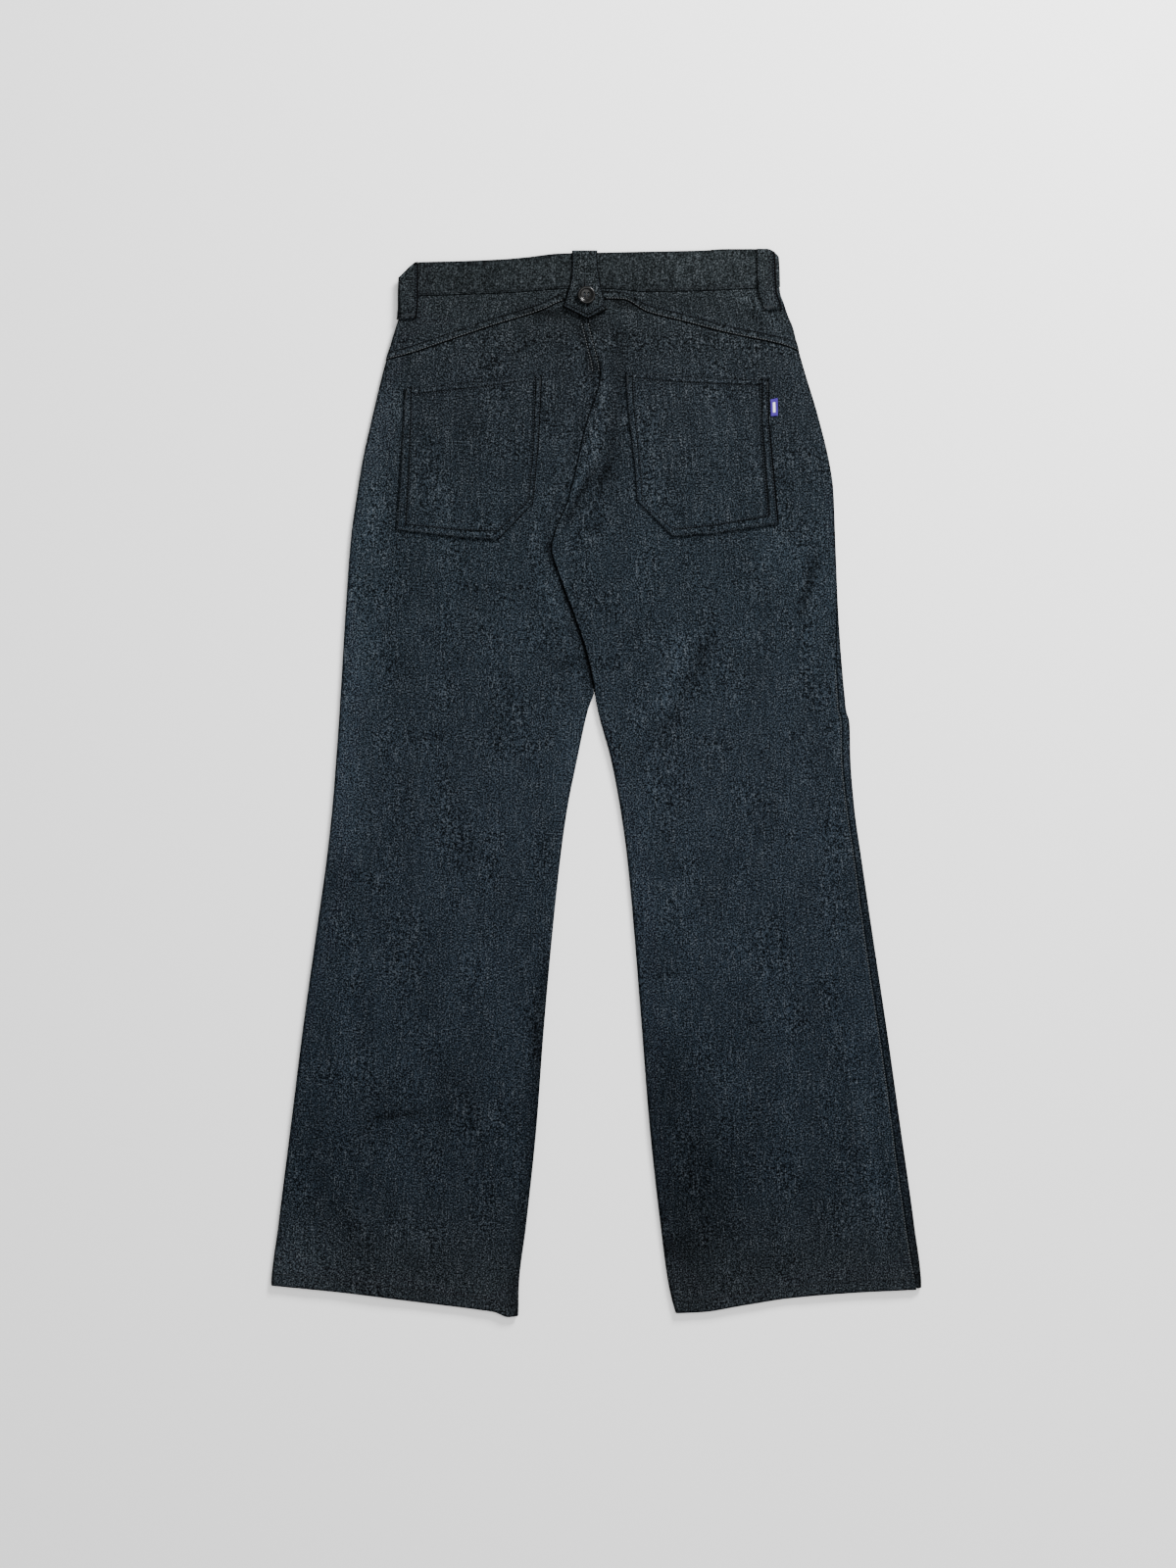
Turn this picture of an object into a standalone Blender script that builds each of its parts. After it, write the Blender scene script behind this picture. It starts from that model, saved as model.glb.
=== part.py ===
"""Bootcut jeans in dark denim, laid flat with the back up.

The garment lies on the plane z = 0 with its waist towards +Y. Outlines are written the way a pattern cutter
measures them, in millimetres: x is the distance from the centre line, to the right as the back is looked at, and
level is the distance below the highest point of the waist. point() turns them into world metres.
"""

import math

import bmesh
import bpy
import numpy as np
from mathutils import Vector

# Driving dimensions, in millimetres.
HALF_LENGTH = 545.5  # half the laid length, from the waist's highest point to the lowest hem corner
DENIM = 1.0  # one layer of cloth
BAND_WALL = 1.6  # two layers and their turnings
TAB_WALL = 1.4
LOOP_WALL = 1.4
SEAM_GAP = 0.3  # what sewn pieces keep between them
LOOP_GAP = 0.45  # what a side loop keeps from the waistband
EDGE_GAP = 0.64  # the same along the turned sides, measured on the outer surface
EDGE_UPRIGHT = 0.8  # cloth on each side of the silhouette that stands upright
BAND_PROUD = 0.5  # how far the waistband stands above the yoke
BODY_HEIGHT = 5.3  # outer height of the two layers of a leg
WAIST_HEIGHT = 6.8  # the same just below the waistband
FRONT_LIFT = BAND_PROUD + SEAM_GAP + LOOP_WALL  # the front waist lies on its loops and its button
UNDER_HEIGHT = 3.6  # top of the left back panel where the right one lies on it
EDGE_REACH = 4.0  # how far a side fold takes to turn over
LAP_REACH = 1.8  # how far the lap's folded edge takes to turn down, and how far it goes down
LAP_DROP = 1.2
LAP_SPREAD = 30.0  # how far beside the lap the left panel starts to go down
SEAM_REACH = 3.0  # how far a back panel's outer columns go on past its seam at least
FRONT_DIP = 15.0  # how much lower the front waist is at its middle
FRONT_DIP_HALF = 186.0  # x where it starts to hang lower
BUTTON_RADIUS = 9.0
BUTTON_HEIGHT = 3.2
BUTTON_HOLES = 4
HOLE_RADIUS = 0.9
HOLE_OUT = 2.6  # from the button's middle
CUTTER_DEPTH = 12.0
FRONT_BUTTON_RADIUS = 8.5
# Half sections of the buttons, as shares of their radius and height.
BUTTON_PROFILE = ((0, 0), (0.62, 0), (0.9, 0.25), (1, 0.58), (0.96, 0.85), (0.84, 1), (0.7, 0.93), (0.55, 0.66),
                  (0, 0.6))
FRONT_BUTTON_PROFILE = ((0, 0), (0.8, 0), (0.96, 0.3), (1, 0.65), (0.94, 1), (0, 1))

# Where one height or shape gives way to another: the level it starts at and how far it takes.
BACK_EASE = (78.0, 40.0)  # the back comes down from the waist's height
FRONT_EASE = (82.0, 40.0)  # the front comes down to the ground
LAP_START = (98.0, 36.0)  # the left panel goes down under the lap
LAP_END = (430.0, 22.0)  # and comes up again
LAP_TURN = (100.0, 22.0)  # the right panel's edge starts to turn down
# Levels from which the inner edges close into legs.
CLOSE_LEFT = 436.0
CLOSE_FRONT = 438.0
CLOSE_RIGHT = 442.0

# The silhouette: x of the four leg edges at each level. Above the fork the inner two follow the lap.
LEG_EDGES = (
    # level, left outer, left inner, right inner, right outer
    (1, -199, None, None, 186),
    (45, -199.3, None, None, 188),
    (57, -199.3, None, None, 192),
    (69, -200.5, None, None, 196),
    (81, -204, None, None, 201),
    (97, -209, None, None, 205),
    (122, -216, None, None, 212),
    (172, -228, None, None, 227),
    (222, -239, None, None, 239),
    (247, -243, None, None, 242.5),
    (297, -250, None, None, 244.5),
    (372, -255.5, None, None, 247.5),
    (447, -260, None, None, 253),
    (454, -260.5, -1.7, -1.3, 253.8),
    (472, -261.5, -8, 2, 255.5),
    (484, -262.3, -11, 5, 259),
    (522, -265, -19, 15.5, 260),
    (572, -269, -29, 25, 264),
    (622, -274.5, -36, 32, 271),
    (697, -285, -44, 39, 282),
    (797, -299, -53, 47, 297),
    (897, -311.5, -60.5, 55, 311),
    (997, -324, -71, 66, 325),
    (1059, -331, -78.5, 74.5, 332),
    (1095, -331, -79.5, 84, 332),
)
# The back of the seat: the lap's folded edge, and how far the left panel goes on under it.
SEAT_LAP = (
    # level, x, under
    (50, -9, -0.3),
    (75, -7, -0.3),
    (97, -2, -0.3),
    (128, 4.4, -0.4),
    (139, 3, 3),
    (152, -1, 7),
    (182, -11, 13),
    (227, -21, 14),
    (261, -30, 14),
    (286, -41, 14),
    (306, -46, 14),
    (336, -37, 13),
    (382, -20, 8),
    (409, -11, 4),
    (434, -5, -0.4),
    (454, -1.3, -0.4),
)
WAIST_TOP = (
    # x, level of the waistband's upper edge
    (-202, 34),
    (-195, 25),
    (-189, 19),
    (-183, 15),
    (-144, 14),
    (-96, 12),
    (-72, 10),
    (-36, 6),
    (12, 5),
    (60, 4),
    (108, 3),
    (132, 1.5),
    (175, 1.5),
    (184, 6),
    (190, 15),
)
WAIST_SEAM = (
    # x, level of the waistband's lower edge on the back
    (-202, 50),
    (-138, 48),
    (-88, 46),
    (-48, 43),
    (-30, 41.8),
    (12, 42),
    (52, 45),
    (92, 44.5),
    (132, 43),
    (190, 40),
)
YOKE_SEAM = (
    # x, level
    (-218, 116),
    (-188, 108),
    (-158, 98),
    (-108, 81),
    (-58, 65.5),
    (-31, 54),
    (-10, 50),
    (12, 53),
    (28, 53.5),
    (52, 66),
    (92, 76.5),
    (136, 88),
    (192, 100),
    (212, 108),
)
HEM_LEFT = (
    # x, level
    (-331, 1059),
    (-260, 1066),
    (-188, 1075),
    (-116, 1084),
    (-103, 1086),
    (-90, 1091),
    (-79, 1090),
)
HEM_RIGHT = (
    (84, 1087),
    (108, 1086),
    (148, 1079.5),
    (196, 1072),
    (268, 1066),
    (332, 1063),
)
# How far the right outseam is rolled onto the back.
OUTSEAM_ROLL = (
    # level, distance in from the silhouette
    (330, 0),
    (387, 4.5),
    (437, 7),
    (520, 9),
    (600, 7.5),
    (747, 9),
    (845, 8.5),
    (953, 9.5),
    (1027, 9),
    (1063, 6),
)
# The largest folds: soft ridges, and troughs where height is negative.
FOLDS = (
    # from x, level, to x, level, half width, height
    (14, 130, -38, 300, 15, 0.8),
    (26, 205, -22, 285, 10, -0.4),
    (100, 385, 48, 500, 15, 0.7),
    (120, 385, 56, 525, 12, -0.7),
    (227, 320, 206, 392, 10, -0.6),
    (-150, 348, -52, 350, 9, -0.5),
    (-206, 498, -155, 498, 9, -0.6),
    (-230, 890, -165, 884, 10, -0.5),
    (92, 505, 146, 513, 9, -0.6),
)
FOLD_FADE = 4.0  # how fast a fold fades at its ends, and the share it keeps there
FOLD_START = 0.3
# The four sides of each back pocket, whose inner lower corner is slanted off.
POCKET_LEFT = {
    "top": ((-195, 143), (-55, 130)),
    "inner": ((-55, 130), (-55.5, 147), (-58, 197), (-64, 261)),
    "bottom": ((-204, 288), (-138, 296), (-100, 298.5), (-64, 261)),
    "outer": ((-195, 143), (-197, 187), (-200, 237), (-204, 288)),
}
POCKET_RIGHT = {
    "top": ((30, 127), (176.5, 134)),
    "inner": ((30, 127), (32, 157), (40, 227), (42, 258)),
    "bottom": ((42, 258), (79, 295), (122, 292), (187, 282)),
    "outer": ((176.5, 134), (177, 177), (180, 207), (187, 282)),
}
LABEL = ((178.0, 155), (185.3, 153.4), (185.6, 171.5), (178.6, 172))
# The centre back tab: x of its two sides at each level, down to the corners above its point.
TAB_SIDES = (
    # level, left, right
    (0, -24.5, 1.8),
    (9, -24.4, 1.6),
    (32, -25.5, 4),
    (47, -29.5, 7.5),
    (53, -31, 9),
    (61, -34, 11.5),
)
TAB_POINT = (-8.0, 73.5)
TAB_POINT_ROWS = 3
TAB_ROW_STEP = 0.5  # how far those rows lie apart above the corners
TAB_LEVELS = (73.5, 66, 61, 55, 49, 42, 32, 20, 10)
TAB_TURN_LEVEL = 9.0  # where it starts to turn over the waist's edge
TAB_TURN_ROWS = 8
TAB_COLUMNS = 7
TAB_MIDDLE = -11.0
TAB_TAIL = 8.0  # how far it goes down inside the waistband
# The waistband's columns, from under the front lap to over it. On a side they are shares of its turn.
BAND_RUNS = (
    # part, from, to, columns
    ("front", -30, 160, 14),
    ("right_outer", -1, 1, 11),
    ("back", 165, -180, 20),
    ("left_outer", 1, -1, 11),
    ("front", -176, 12, 12),
)
BAND_STEP = (20.0, 14.0)  # x where the end under the lap starts to come down, and how far it takes
BAND_LEVEL = 20.0  # level whose silhouette the waistband and its loops follow
LOOP_CROWDING = 1.4  # a side loop's columns lie closer towards the silhouette
SIDE_LOOPS = (
    # name, edge, where it starts on the turn, width, length
    ("belt_loop_left", "left_outer", 0.5, 18.5, 58.0),
    ("belt_loop_right", "right_outer", 4.5, 18.5, 62.0),
)
FRONT_LOOPS = (("belt_loop_front_left", -112.0), ("belt_loop_front_right", 92.0))
FRONT_LOOP_SIZE = (15.0, 58.0)
BUTTON_AT = (-9.5, 49.0)
CENTRE_FRONT = ((16, -10), (60, -10), (230, -7), (454, -1.5))
FRONT_BUTTON_AT = (-10.0, 39.0)
FLY_BOTTOM = 230.0
FLY_SIDES = (-34.0, 14.0)
FLY_ROUNDING = 5.0  # how far its lower corner is cut back over the last two rows
FORK = 454.0  # level where the legs part
FRONT_HEM_SHORT = 1.5  # how much shorter the front is, so that the back hides it
SEAM_CROWDING = 1.3  # columns lie closer towards a seam
LAP_CROWDING = 1.7  # and towards the lap

# Rows of each panel, as levels. Those near a seam or a hem are slanted to follow it.
BACK_ROWS = (50, 80, 105, 120, 133, 150, 182, 227, 261, 286, 306, 336, 382, 409, 434, 442, 448, 454, 472, 500, 572,
             660, 747, 845, 953, 1027, 1090)
FRONT_ROWS = (50, 72, 94, 116, 160, 227, 306, 336, 382, 434, 442, 448, 454, 472, 500, 572, 660, 747, 845, 953, 1027,
              1088)
SEAM_ZONE = 200.0  # rows above this level are fitted to the upper seam
HEM_ZONE = 953.0  # rows below this one to the hem

INDIGO = (0.021, 0.028, 0.037)
HORN = (0.045, 0.04, 0.036)
METAL = (0.36, 0.33, 0.29)
LABEL_BLUE = (0.07, 0.045, 0.5)


def smooth(t):
    """0 to 1 with soft ends."""
    t = min(1.0, max(0.0, t))
    return t * t * (3 - 2 * t)


def eased(level, ease):
    """0 above the level where a change starts, 1 below the level where it ends."""
    return smooth((level - ease[0]) / ease[1])


def line(rows, column=1):
    """A smooth line through a table's rows, which never swings past its points."""
    kept = [row for row in rows if row[column] is not None]
    at = np.array([row[0] for row in kept], float)
    value = np.array([row[column] for row in kept], float)
    step = np.diff(at)
    slope = np.diff(value) / step
    bend = np.zeros(len(at))
    for k in range(1, len(at) - 1):
        if slope[k - 1] * slope[k] > 0:
            bend[k] = 2 * slope[k - 1] * slope[k] / (slope[k - 1] + slope[k])
    bend[0], bend[-1] = slope[0], slope[-1]

    def read(x):
        x = min(at[-1], max(at[0], x))
        k = min(len(step) - 1, int(np.searchsorted(at, x, side="right")) - 1)
        t = (x - at[k]) / step[k]
        return (
            value[k] * (1 + 2 * t) * (1 - t) ** 2
            + step[k] * bend[k] * t * (1 - t) ** 2
            + value[k + 1] * t * t * (3 - 2 * t)
            + step[k] * bend[k + 1] * t * t * (t - 1)
        )

    return read


lap_x = line(SEAT_LAP, 1)
lap_under = line(SEAT_LAP, 2)
waist_top = line(WAIST_TOP)
waist_seam = line(WAIST_SEAM)
yoke_seam = line(YOKE_SEAM)
outseam_roll = line(OUTSEAM_ROLL)
centre_front = line(CENTRE_FRONT)
leg_line = {
    "left_outer": line(LEG_EDGES, 1),
    "left_inner": line(LEG_EDGES, 2),
    "right_inner": line(LEG_EDGES, 3),
    "right_outer": line(LEG_EDGES, 4),
}
INWARD = {"left_outer": 1, "left_inner": -1, "right_inner": 1, "right_outer": -1}
HEM = {"left": line(HEM_LEFT), "right": line(HEM_RIGHT)}


def edge_x(edge, level):
    """x of the silhouette, which above the fork is the lap for the two inner edges."""
    if level < FORK and edge == "left_inner":
        return lap_x(level) + lap_under(level)
    if level < FORK and edge == "right_inner":
        return lap_x(level)
    return leg_line[edge](level)


def fold_height(x, level):
    """The sum of the folds at a place, each a soft bump round its line that fades at both ends."""
    total = 0.0
    for from_x, from_level, to_x, to_level, half_width, height in FOLDS:
        run = np.array((to_x - from_x, to_level - from_level))
        off = np.array((x - from_x, level - from_level))
        share = float(off @ run / (run @ run))
        along = min(1.0, max(0.0, share))
        away = float(np.linalg.norm(off - along * run))
        ends = smooth(FOLD_FADE * along + FOLD_START) * smooth(FOLD_FADE * (1 - along) + FOLD_START)
        total += height * smooth(1 - away / half_width) * ends
    return total


def front_height(level):
    """Height of the underside: on the ground, but for the waist that its loops and button hold up."""
    return FRONT_LIFT * (1 - eased(level, FRONT_EASE))


def back_height(x, level, half="right"):
    """Height of the upper side. The left half goes down where the right one laps over it."""
    height = BODY_HEIGHT + (WAIST_HEIGHT - BODY_HEIGHT) * (1 - eased(level, BACK_EASE))
    height += fold_height(x, level)
    if half == "left":
        beside = smooth((x - lap_x(level) + LAP_SPREAD) / LAP_SPREAD)
        lowered = eased(level, LAP_START) * (1 - eased(level, LAP_END))
        height += (UNDER_HEIGHT - height) * beside * lowered
    return height


def turn_length(level):
    """Length of cloth from the silhouette to where a side fold is flat."""
    rise = (BODY_HEIGHT - front_height(level)) / 2
    return math.pi / 2 * math.sqrt((EDGE_REACH**2 + rise**2) / 2)


def at_edge(edge, along, level, out=0.0, half="right"):
    """A point of the outer surface, a length of cloth in from the silhouette: up on the back, minus on the front."""
    turn = turn_length(level)
    angle = min(1.0, abs(along) / turn) * math.pi / 2
    leaning = max(0.0, angle - EDGE_UPRIGHT / turn * math.pi / 2) / (1 - EDGE_UPRIGHT / turn)
    inset = EDGE_REACH * (1 - math.cos(leaning)) + max(0.0, abs(along) - turn)
    x = edge_x(edge, level) + INWARD[edge] * inset
    high, low = back_height(x, level, half), front_height(level)
    rise = (high - low) / 2
    facing = Vector((-INWARD[edge] * math.cos(leaning) / EDGE_REACH, math.sin(leaning) / rise))
    facing.normalize()
    up = math.copysign(1.0, along)
    return x + facing.x * out, level, (high + low) / 2 + up * (rise * math.sin(angle) + facing.y * out)


def point(x, level, height):
    """World metres from pattern millimetres."""
    return Vector((x, HALF_LENGTH - level, height)) / 1000


def finish(name, bm, material, wall=None):
    """Makes the mesh an object. A wall is added behind its outer surface."""
    mesh = bpy.data.meshes.new(name)
    bm.to_mesh(mesh)
    bm.free()
    piece = bpy.data.objects.new(name, mesh)
    bpy.context.scene.collection.objects.link(piece)
    mesh.materials.append(material)
    if wall:
        solidify = piece.modifiers.new("wall", "SOLIDIFY")
        solidify.thickness = wall / 1000
        solidify.offset = -1
        solidify.use_even_offset = True
    mesh.shade_smooth()
    mesh.set_sharp_from_angle(angle=math.radians(40))
    return piece


def sheet(name, columns, rows, place, material, wall=DENIM, faces_down=False):
    """A grid of cloth: place(column, row) gives each knot in pattern millimetres."""
    bm = bmesh.new()
    bmesh.ops.create_grid(bm, x_segments=columns - 1, y_segments=rows - 1, size=0.5)
    for vert in bm.verts:
        column = round((vert.co.x + 0.5) * (columns - 1))
        row = round((0.5 - vert.co.y) * (rows - 1))
        vert.co = point(*place(column, row))
    if faces_down:
        bmesh.ops.reverse_faces(bm, faces=bm.faces)
    return finish(name, bm, material, wall)


def material(name, colour, roughness, metallic=0.0):
    made = bpy.data.materials.new(name)
    made.use_nodes = True
    shader = made.node_tree.nodes["Principled BSDF"]
    shader.inputs["Base Color"].default_value = (*colour, 1)
    shader.inputs["Roughness"].default_value = roughness
    shader.inputs["Metallic"].default_value = metallic
    return made


def row_level(rows, row, top, bottom):
    """Level of a row at one place, fitted to the seam above and the hem below."""
    level = rows[row]
    if level < SEAM_ZONE:
        return top + (level - rows[0]) / (SEAM_ZONE - rows[0]) * (SEAM_ZONE - top)
    if level > HEM_ZONE:
        return HEM_ZONE + (level - HEM_ZONE) / (rows[-1] - HEM_ZONE) * (bottom - HEM_ZONE)
    return level


def settle(place_at, rows, row, top_line, bottom_line):
    """A knot whose level depends on its x, and whose x depends on its level."""
    x, level = place_at(rows[row])[0], rows[row]
    for _ in range(4):
        level = row_level(rows, row, top_line(x), bottom_line(x))
        x = place_at(level)[0]
    return place_at(level)


def outseam(half, level):
    """How far onto the back the outseam lies."""
    return outseam_roll(level) if half == "right" else 0.0


def fork_share(level, start):
    """0 where the halves are joined above the fork, 1 where a leg is closed round."""
    return smooth((level - start) / (FORK - start))


def back_inner(half, part, level):
    """The inner edge of a back panel. part goes from 0 at the edge to 1 where the panel is flat."""
    edge = f"{half}_inner"
    turn = turn_length(level)
    closed = Vector(at_edge(edge, EDGE_GAP / 2 + part * (turn - EDGE_GAP / 2), level, half=half))
    x = edge_x(edge, level) + INWARD[edge] * part * turn
    if half == "left":
        open_edge = Vector((x, level, back_height(x, level, half)))
        return open_edge.lerp(closed, fork_share(level, CLOSE_LEFT))
    lapped = eased(level, LAP_TURN)
    x = edge_x(edge, level) + part * turn * (1 - lapped)
    x += LAP_REACH * (1 - math.cos(part * math.pi / 2)) * lapped
    drop = LAP_DROP * (1 - math.sin(part * math.pi / 2)) * lapped
    open_edge = Vector((x, level, back_height(x, level, half) - drop))
    return open_edge.lerp(closed, fork_share(level, CLOSE_RIGHT))


def front_inner(half, part, level):
    """The inner edge of a front panel: flat at the centre front seam, turned up below the fork."""
    edge = f"{half}_inner"
    turn = turn_length(level)
    closed = Vector(at_edge(edge, -EDGE_GAP / 2 - part * (turn - EDGE_GAP / 2), level, half=half))
    x = centre_front(level) + INWARD[edge] * (SEAM_GAP / 2 + part * turn)
    return Vector((x, level, front_height(level))).lerp(closed, fork_share(level, CLOSE_FRONT))


def steps_of(half, back):
    """How many columns a leg panel has at its outseam, over its flat middle and at its inner edge."""
    if back:
        return 5, 7, 5
    return (5 if half == "left" else 9), 7, 4


def station(half, back, column, level):
    """A knot of a leg panel: columns run from the outseam to the inseam or centre seam, closer at the lap."""
    outer_steps, middle_steps, inner_steps = steps_of(half, back)
    last = outer_steps + middle_steps + inner_steps
    edge, side = f"{half}_outer", 1 if back else -1
    start = outseam(half, level) + side * EDGE_GAP / 2
    end = max(turn_length(level), start + SEAM_REACH) if back else -turn_length(level)
    part = min(1.0, column / outer_steps) ** SEAM_CROWDING
    outer = Vector(at_edge(edge, start + part * (end - start), level, half=half))
    if column <= outer_steps:
        return outer
    part = min(1.0, (last - column) / inner_steps) ** SEAM_CROWDING
    inner = back_inner(half, part, level) if back else front_inner(half, part, level)
    if column >= last - inner_steps:
        return inner
    share = 1 - (1 - (column - outer_steps) / middle_steps) ** LAP_CROWDING
    x = outer.x + (inner.x - outer.x) * share
    return Vector((x, level, back_height(x, level, half) if back else front_height(level)))


def leg_panel(name, half, back, cloth):
    """A leg panel from the yoke or waistband to the hem, from outseam to inseam or centre seam."""
    rows = BACK_ROWS if back else FRONT_ROWS

    def top_line(x):
        return yoke_seam(x) + SEAM_GAP / 2 if back else front_seam(x) + SEAM_GAP

    def bottom_line(x):
        return HEM[half](x) - (0 if back else FRONT_HEM_SHORT)

    def place(column, row):
        return settle(lambda level: station(half, back, column, level), rows, row, top_line, bottom_line)

    columns = sum(steps_of(half, back)) + 1
    return sheet(name, columns, len(rows), place, cloth, faces_down=(half == "right") == back)


def front_dip(x):
    """How much lower the front waist hangs than the back."""
    return FRONT_DIP * max(0.0, 1 - (x / FRONT_DIP_HALF) ** 2)


def front_waist(x):
    return waist_top(x) + front_dip(x)


def front_seam(x):
    return waist_seam(x) + front_dip(x)


def yoke(name, half, cloth):
    """The yoke between the waistband and a back panel, with the panel's columns."""
    columns, rows = sum(steps_of(half, True)) + 1, 4

    def place(column, row):
        share, level = row / (rows - 1), yoke_seam(0)
        for _ in range(4):
            x = station(half, True, column, level).x
            top, bottom = waist_seam(x) + SEAM_GAP, yoke_seam(x) - SEAM_GAP / 2
            level = top + (bottom - top) * share
        return station(half, True, column, level)

    return sheet(name, columns, rows, place, cloth, faces_down=half == "right")


def waistband(cloth):
    """One strip all round: it starts under the front lap, passes over the back and ends on the lap."""
    turn = turn_length(BAND_LEVEL)
    lap_lift = BAND_WALL + SEAM_GAP
    stations = [(part, at) for part, start, end, count in BAND_RUNS for at in np.linspace(start, end, count)]
    under_columns = BAND_RUNS[0][3]

    def knot(column, share):
        kind, at = stations[column]
        if kind in INWARD:
            up = (at + 1) / 2
            x = at_edge(kind, at * turn, BAND_LEVEL)[0]
            back = waist_top(x) + (waist_seam(x) - SEAM_GAP / 2 - waist_top(x)) * share
            front = front_waist(x) + (front_seam(x) - SEAM_GAP / 2 - front_waist(x)) * share
            return at_edge(kind, at * turn, back * up + front * (1 - up), out=BAND_PROUD)
        if kind == "back":
            level = waist_top(at) + (waist_seam(at) - SEAM_GAP / 2 - waist_top(at)) * share
            return at, level, back_height(at, level) + BAND_PROUD
        level = front_waist(at) + (front_seam(at) - SEAM_GAP / 2 - front_waist(at)) * share
        lifted = lap_lift * (1 - eased(at, BAND_STEP)) if column < under_columns else 0
        return at, level, front_height(level) - BAND_PROUD + lifted

    return sheet("waistband", len(stations), 3, lambda c, r: knot(c, r / 2), cloth, BAND_WALL, faces_down=True)


def patch(name, outline, cloth, out, half):
    """A pocket lying on the back, filled in between its four sides."""
    columns, rows = 10, 7

    def read(side, share):
        corners = outline[side]
        place = share * (len(corners) - 1)
        k = min(len(corners) - 2, int(place))
        return Vector(corners[k]).lerp(Vector(corners[k + 1]), place - k)

    left, right = ("outer", "inner") if half == "left" else ("inner", "outer")

    def knot(column, row):
        u, v = column / (columns - 1), row / (rows - 1)
        top, bottom, west, east = read("top", u), read("bottom", u), read(left, v), read(right, v)
        ends = top.lerp(bottom, v), west.lerp(east, u)
        corners = read("top", 0).lerp(read("top", 1), u).lerp(read("bottom", 0).lerp(read("bottom", 1), u), v)
        x, level = ends[0] + ends[1] - corners
        return x, level, back_height(x, level) + out

    return sheet(name, columns, rows, knot, cloth)


def back_tab(cloth):
    """The tab sewn into the waist's upper edge: over it, down the back, and out to a point."""
    left, right = line(TAB_SIDES, 1), line(TAB_SIDES, 2)
    out = BAND_PROUD + SEAM_GAP + TAB_WALL
    inner_turn = BAND_WALL / 2 + SEAM_GAP
    turn_radius = inner_turn + TAB_WALL
    edge_level = waist_top(TAB_MIDDLE)
    middle = WAIST_HEIGHT + BAND_PROUD - BAND_WALL / 2
    flat_rows = len(TAB_LEVELS)
    rows = flat_rows + TAB_TURN_ROWS + 2

    def knot(column, row):
        share = column / (TAB_COLUMNS - 1)
        if row < TAB_POINT_ROWS:
            corner = TAB_SIDES[-1]
            x = corner[1] + (corner[2] - corner[1]) * share
            near = 1 - abs(x - TAB_POINT[0]) / max(TAB_POINT[0] - corner[1], corner[2] - TAB_POINT[0])
            point_level = corner[0] + (TAB_POINT[1] - corner[0]) * max(0.0, near)
            level = corner[0] + (point_level - corner[0]) * (1 - row / (TAB_POINT_ROWS - 1)) - row * TAB_ROW_STEP
            return x, level, WAIST_HEIGHT + out
        if row < flat_rows:
            level = TAB_LEVELS[row]
            return left(level) + (right(level) - left(level)) * share, level, WAIST_HEIGHT + out
        x = left(TAB_TURN_LEVEL) + (right(TAB_TURN_LEVEL) - left(TAB_TURN_LEVEL)) * share
        step = row - flat_rows
        if step <= TAB_TURN_ROWS:
            angle = math.pi / 2 - math.pi * step / TAB_TURN_ROWS
            return x, edge_level - turn_radius * math.cos(angle), middle + turn_radius * math.sin(angle)
        return x, edge_level + TAB_TAIL, middle - turn_radius

    return sheet("back_tab", TAB_COLUMNS, rows, knot, cloth, TAB_WALL, faces_down=True)


def side_loop(name, edge, first, width, length, cloth):
    """A loop that shows at one side of the back, partly on the turn of the side."""
    out = BAND_PROUD + LOOP_GAP + LOOP_WALL
    columns, rows = 10, 4

    def place(column, row):
        along = first + (column / (columns - 1)) ** LOOP_CROWDING * width
        start = waist_top(at_edge(edge, along, BAND_LEVEL)[0])
        end = waist_top(at_edge(edge, first + width, BAND_LEVEL)[0]) + length
        return at_edge(edge, along, start + (end - start) * row / (rows - 1), out=out)

    return sheet(name, columns, rows, place, cloth, LOOP_WALL, faces_down=edge == "right_outer")


def front_loop(name, middle, cloth):
    """A loop on the hidden front, flush with the ground."""
    width, length = FRONT_LOOP_SIZE

    def place(column, row):
        x = middle + (column / 2 - 0.5) * width
        return x, front_waist(x) + row / 2 * length, FRONT_LIFT - BAND_PROUD - SEAM_GAP - LOOP_WALL

    return sheet(name, 3, 3, place, cloth, LOOP_WALL, faces_down=True)


def turned_button(name, at, base, profile, radius, height, finish_of):
    """A button turned from its profile, from the middle of its underside to the middle of its face."""
    bm = bmesh.new()
    verts = [bm.verts.new((out * radius / 1000, 0, up * height / 1000)) for out, up in profile]
    edges = [bm.edges.new(pair) for pair in zip(verts, verts[1:])]
    bmesh.ops.spin(bm, geom=verts + edges, axis=(0, 0, 1), cent=(0, 0, 0), angle=math.tau, steps=32,
                   use_merge=True)
    bmesh.ops.remove_doubles(bm, verts=bm.verts, dist=1e-6)
    bmesh.ops.recalc_face_normals(bm, faces=bm.faces)
    piece = finish(name, bm, finish_of)
    piece.location = point(at[0], at[1], base)
    return piece


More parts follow.
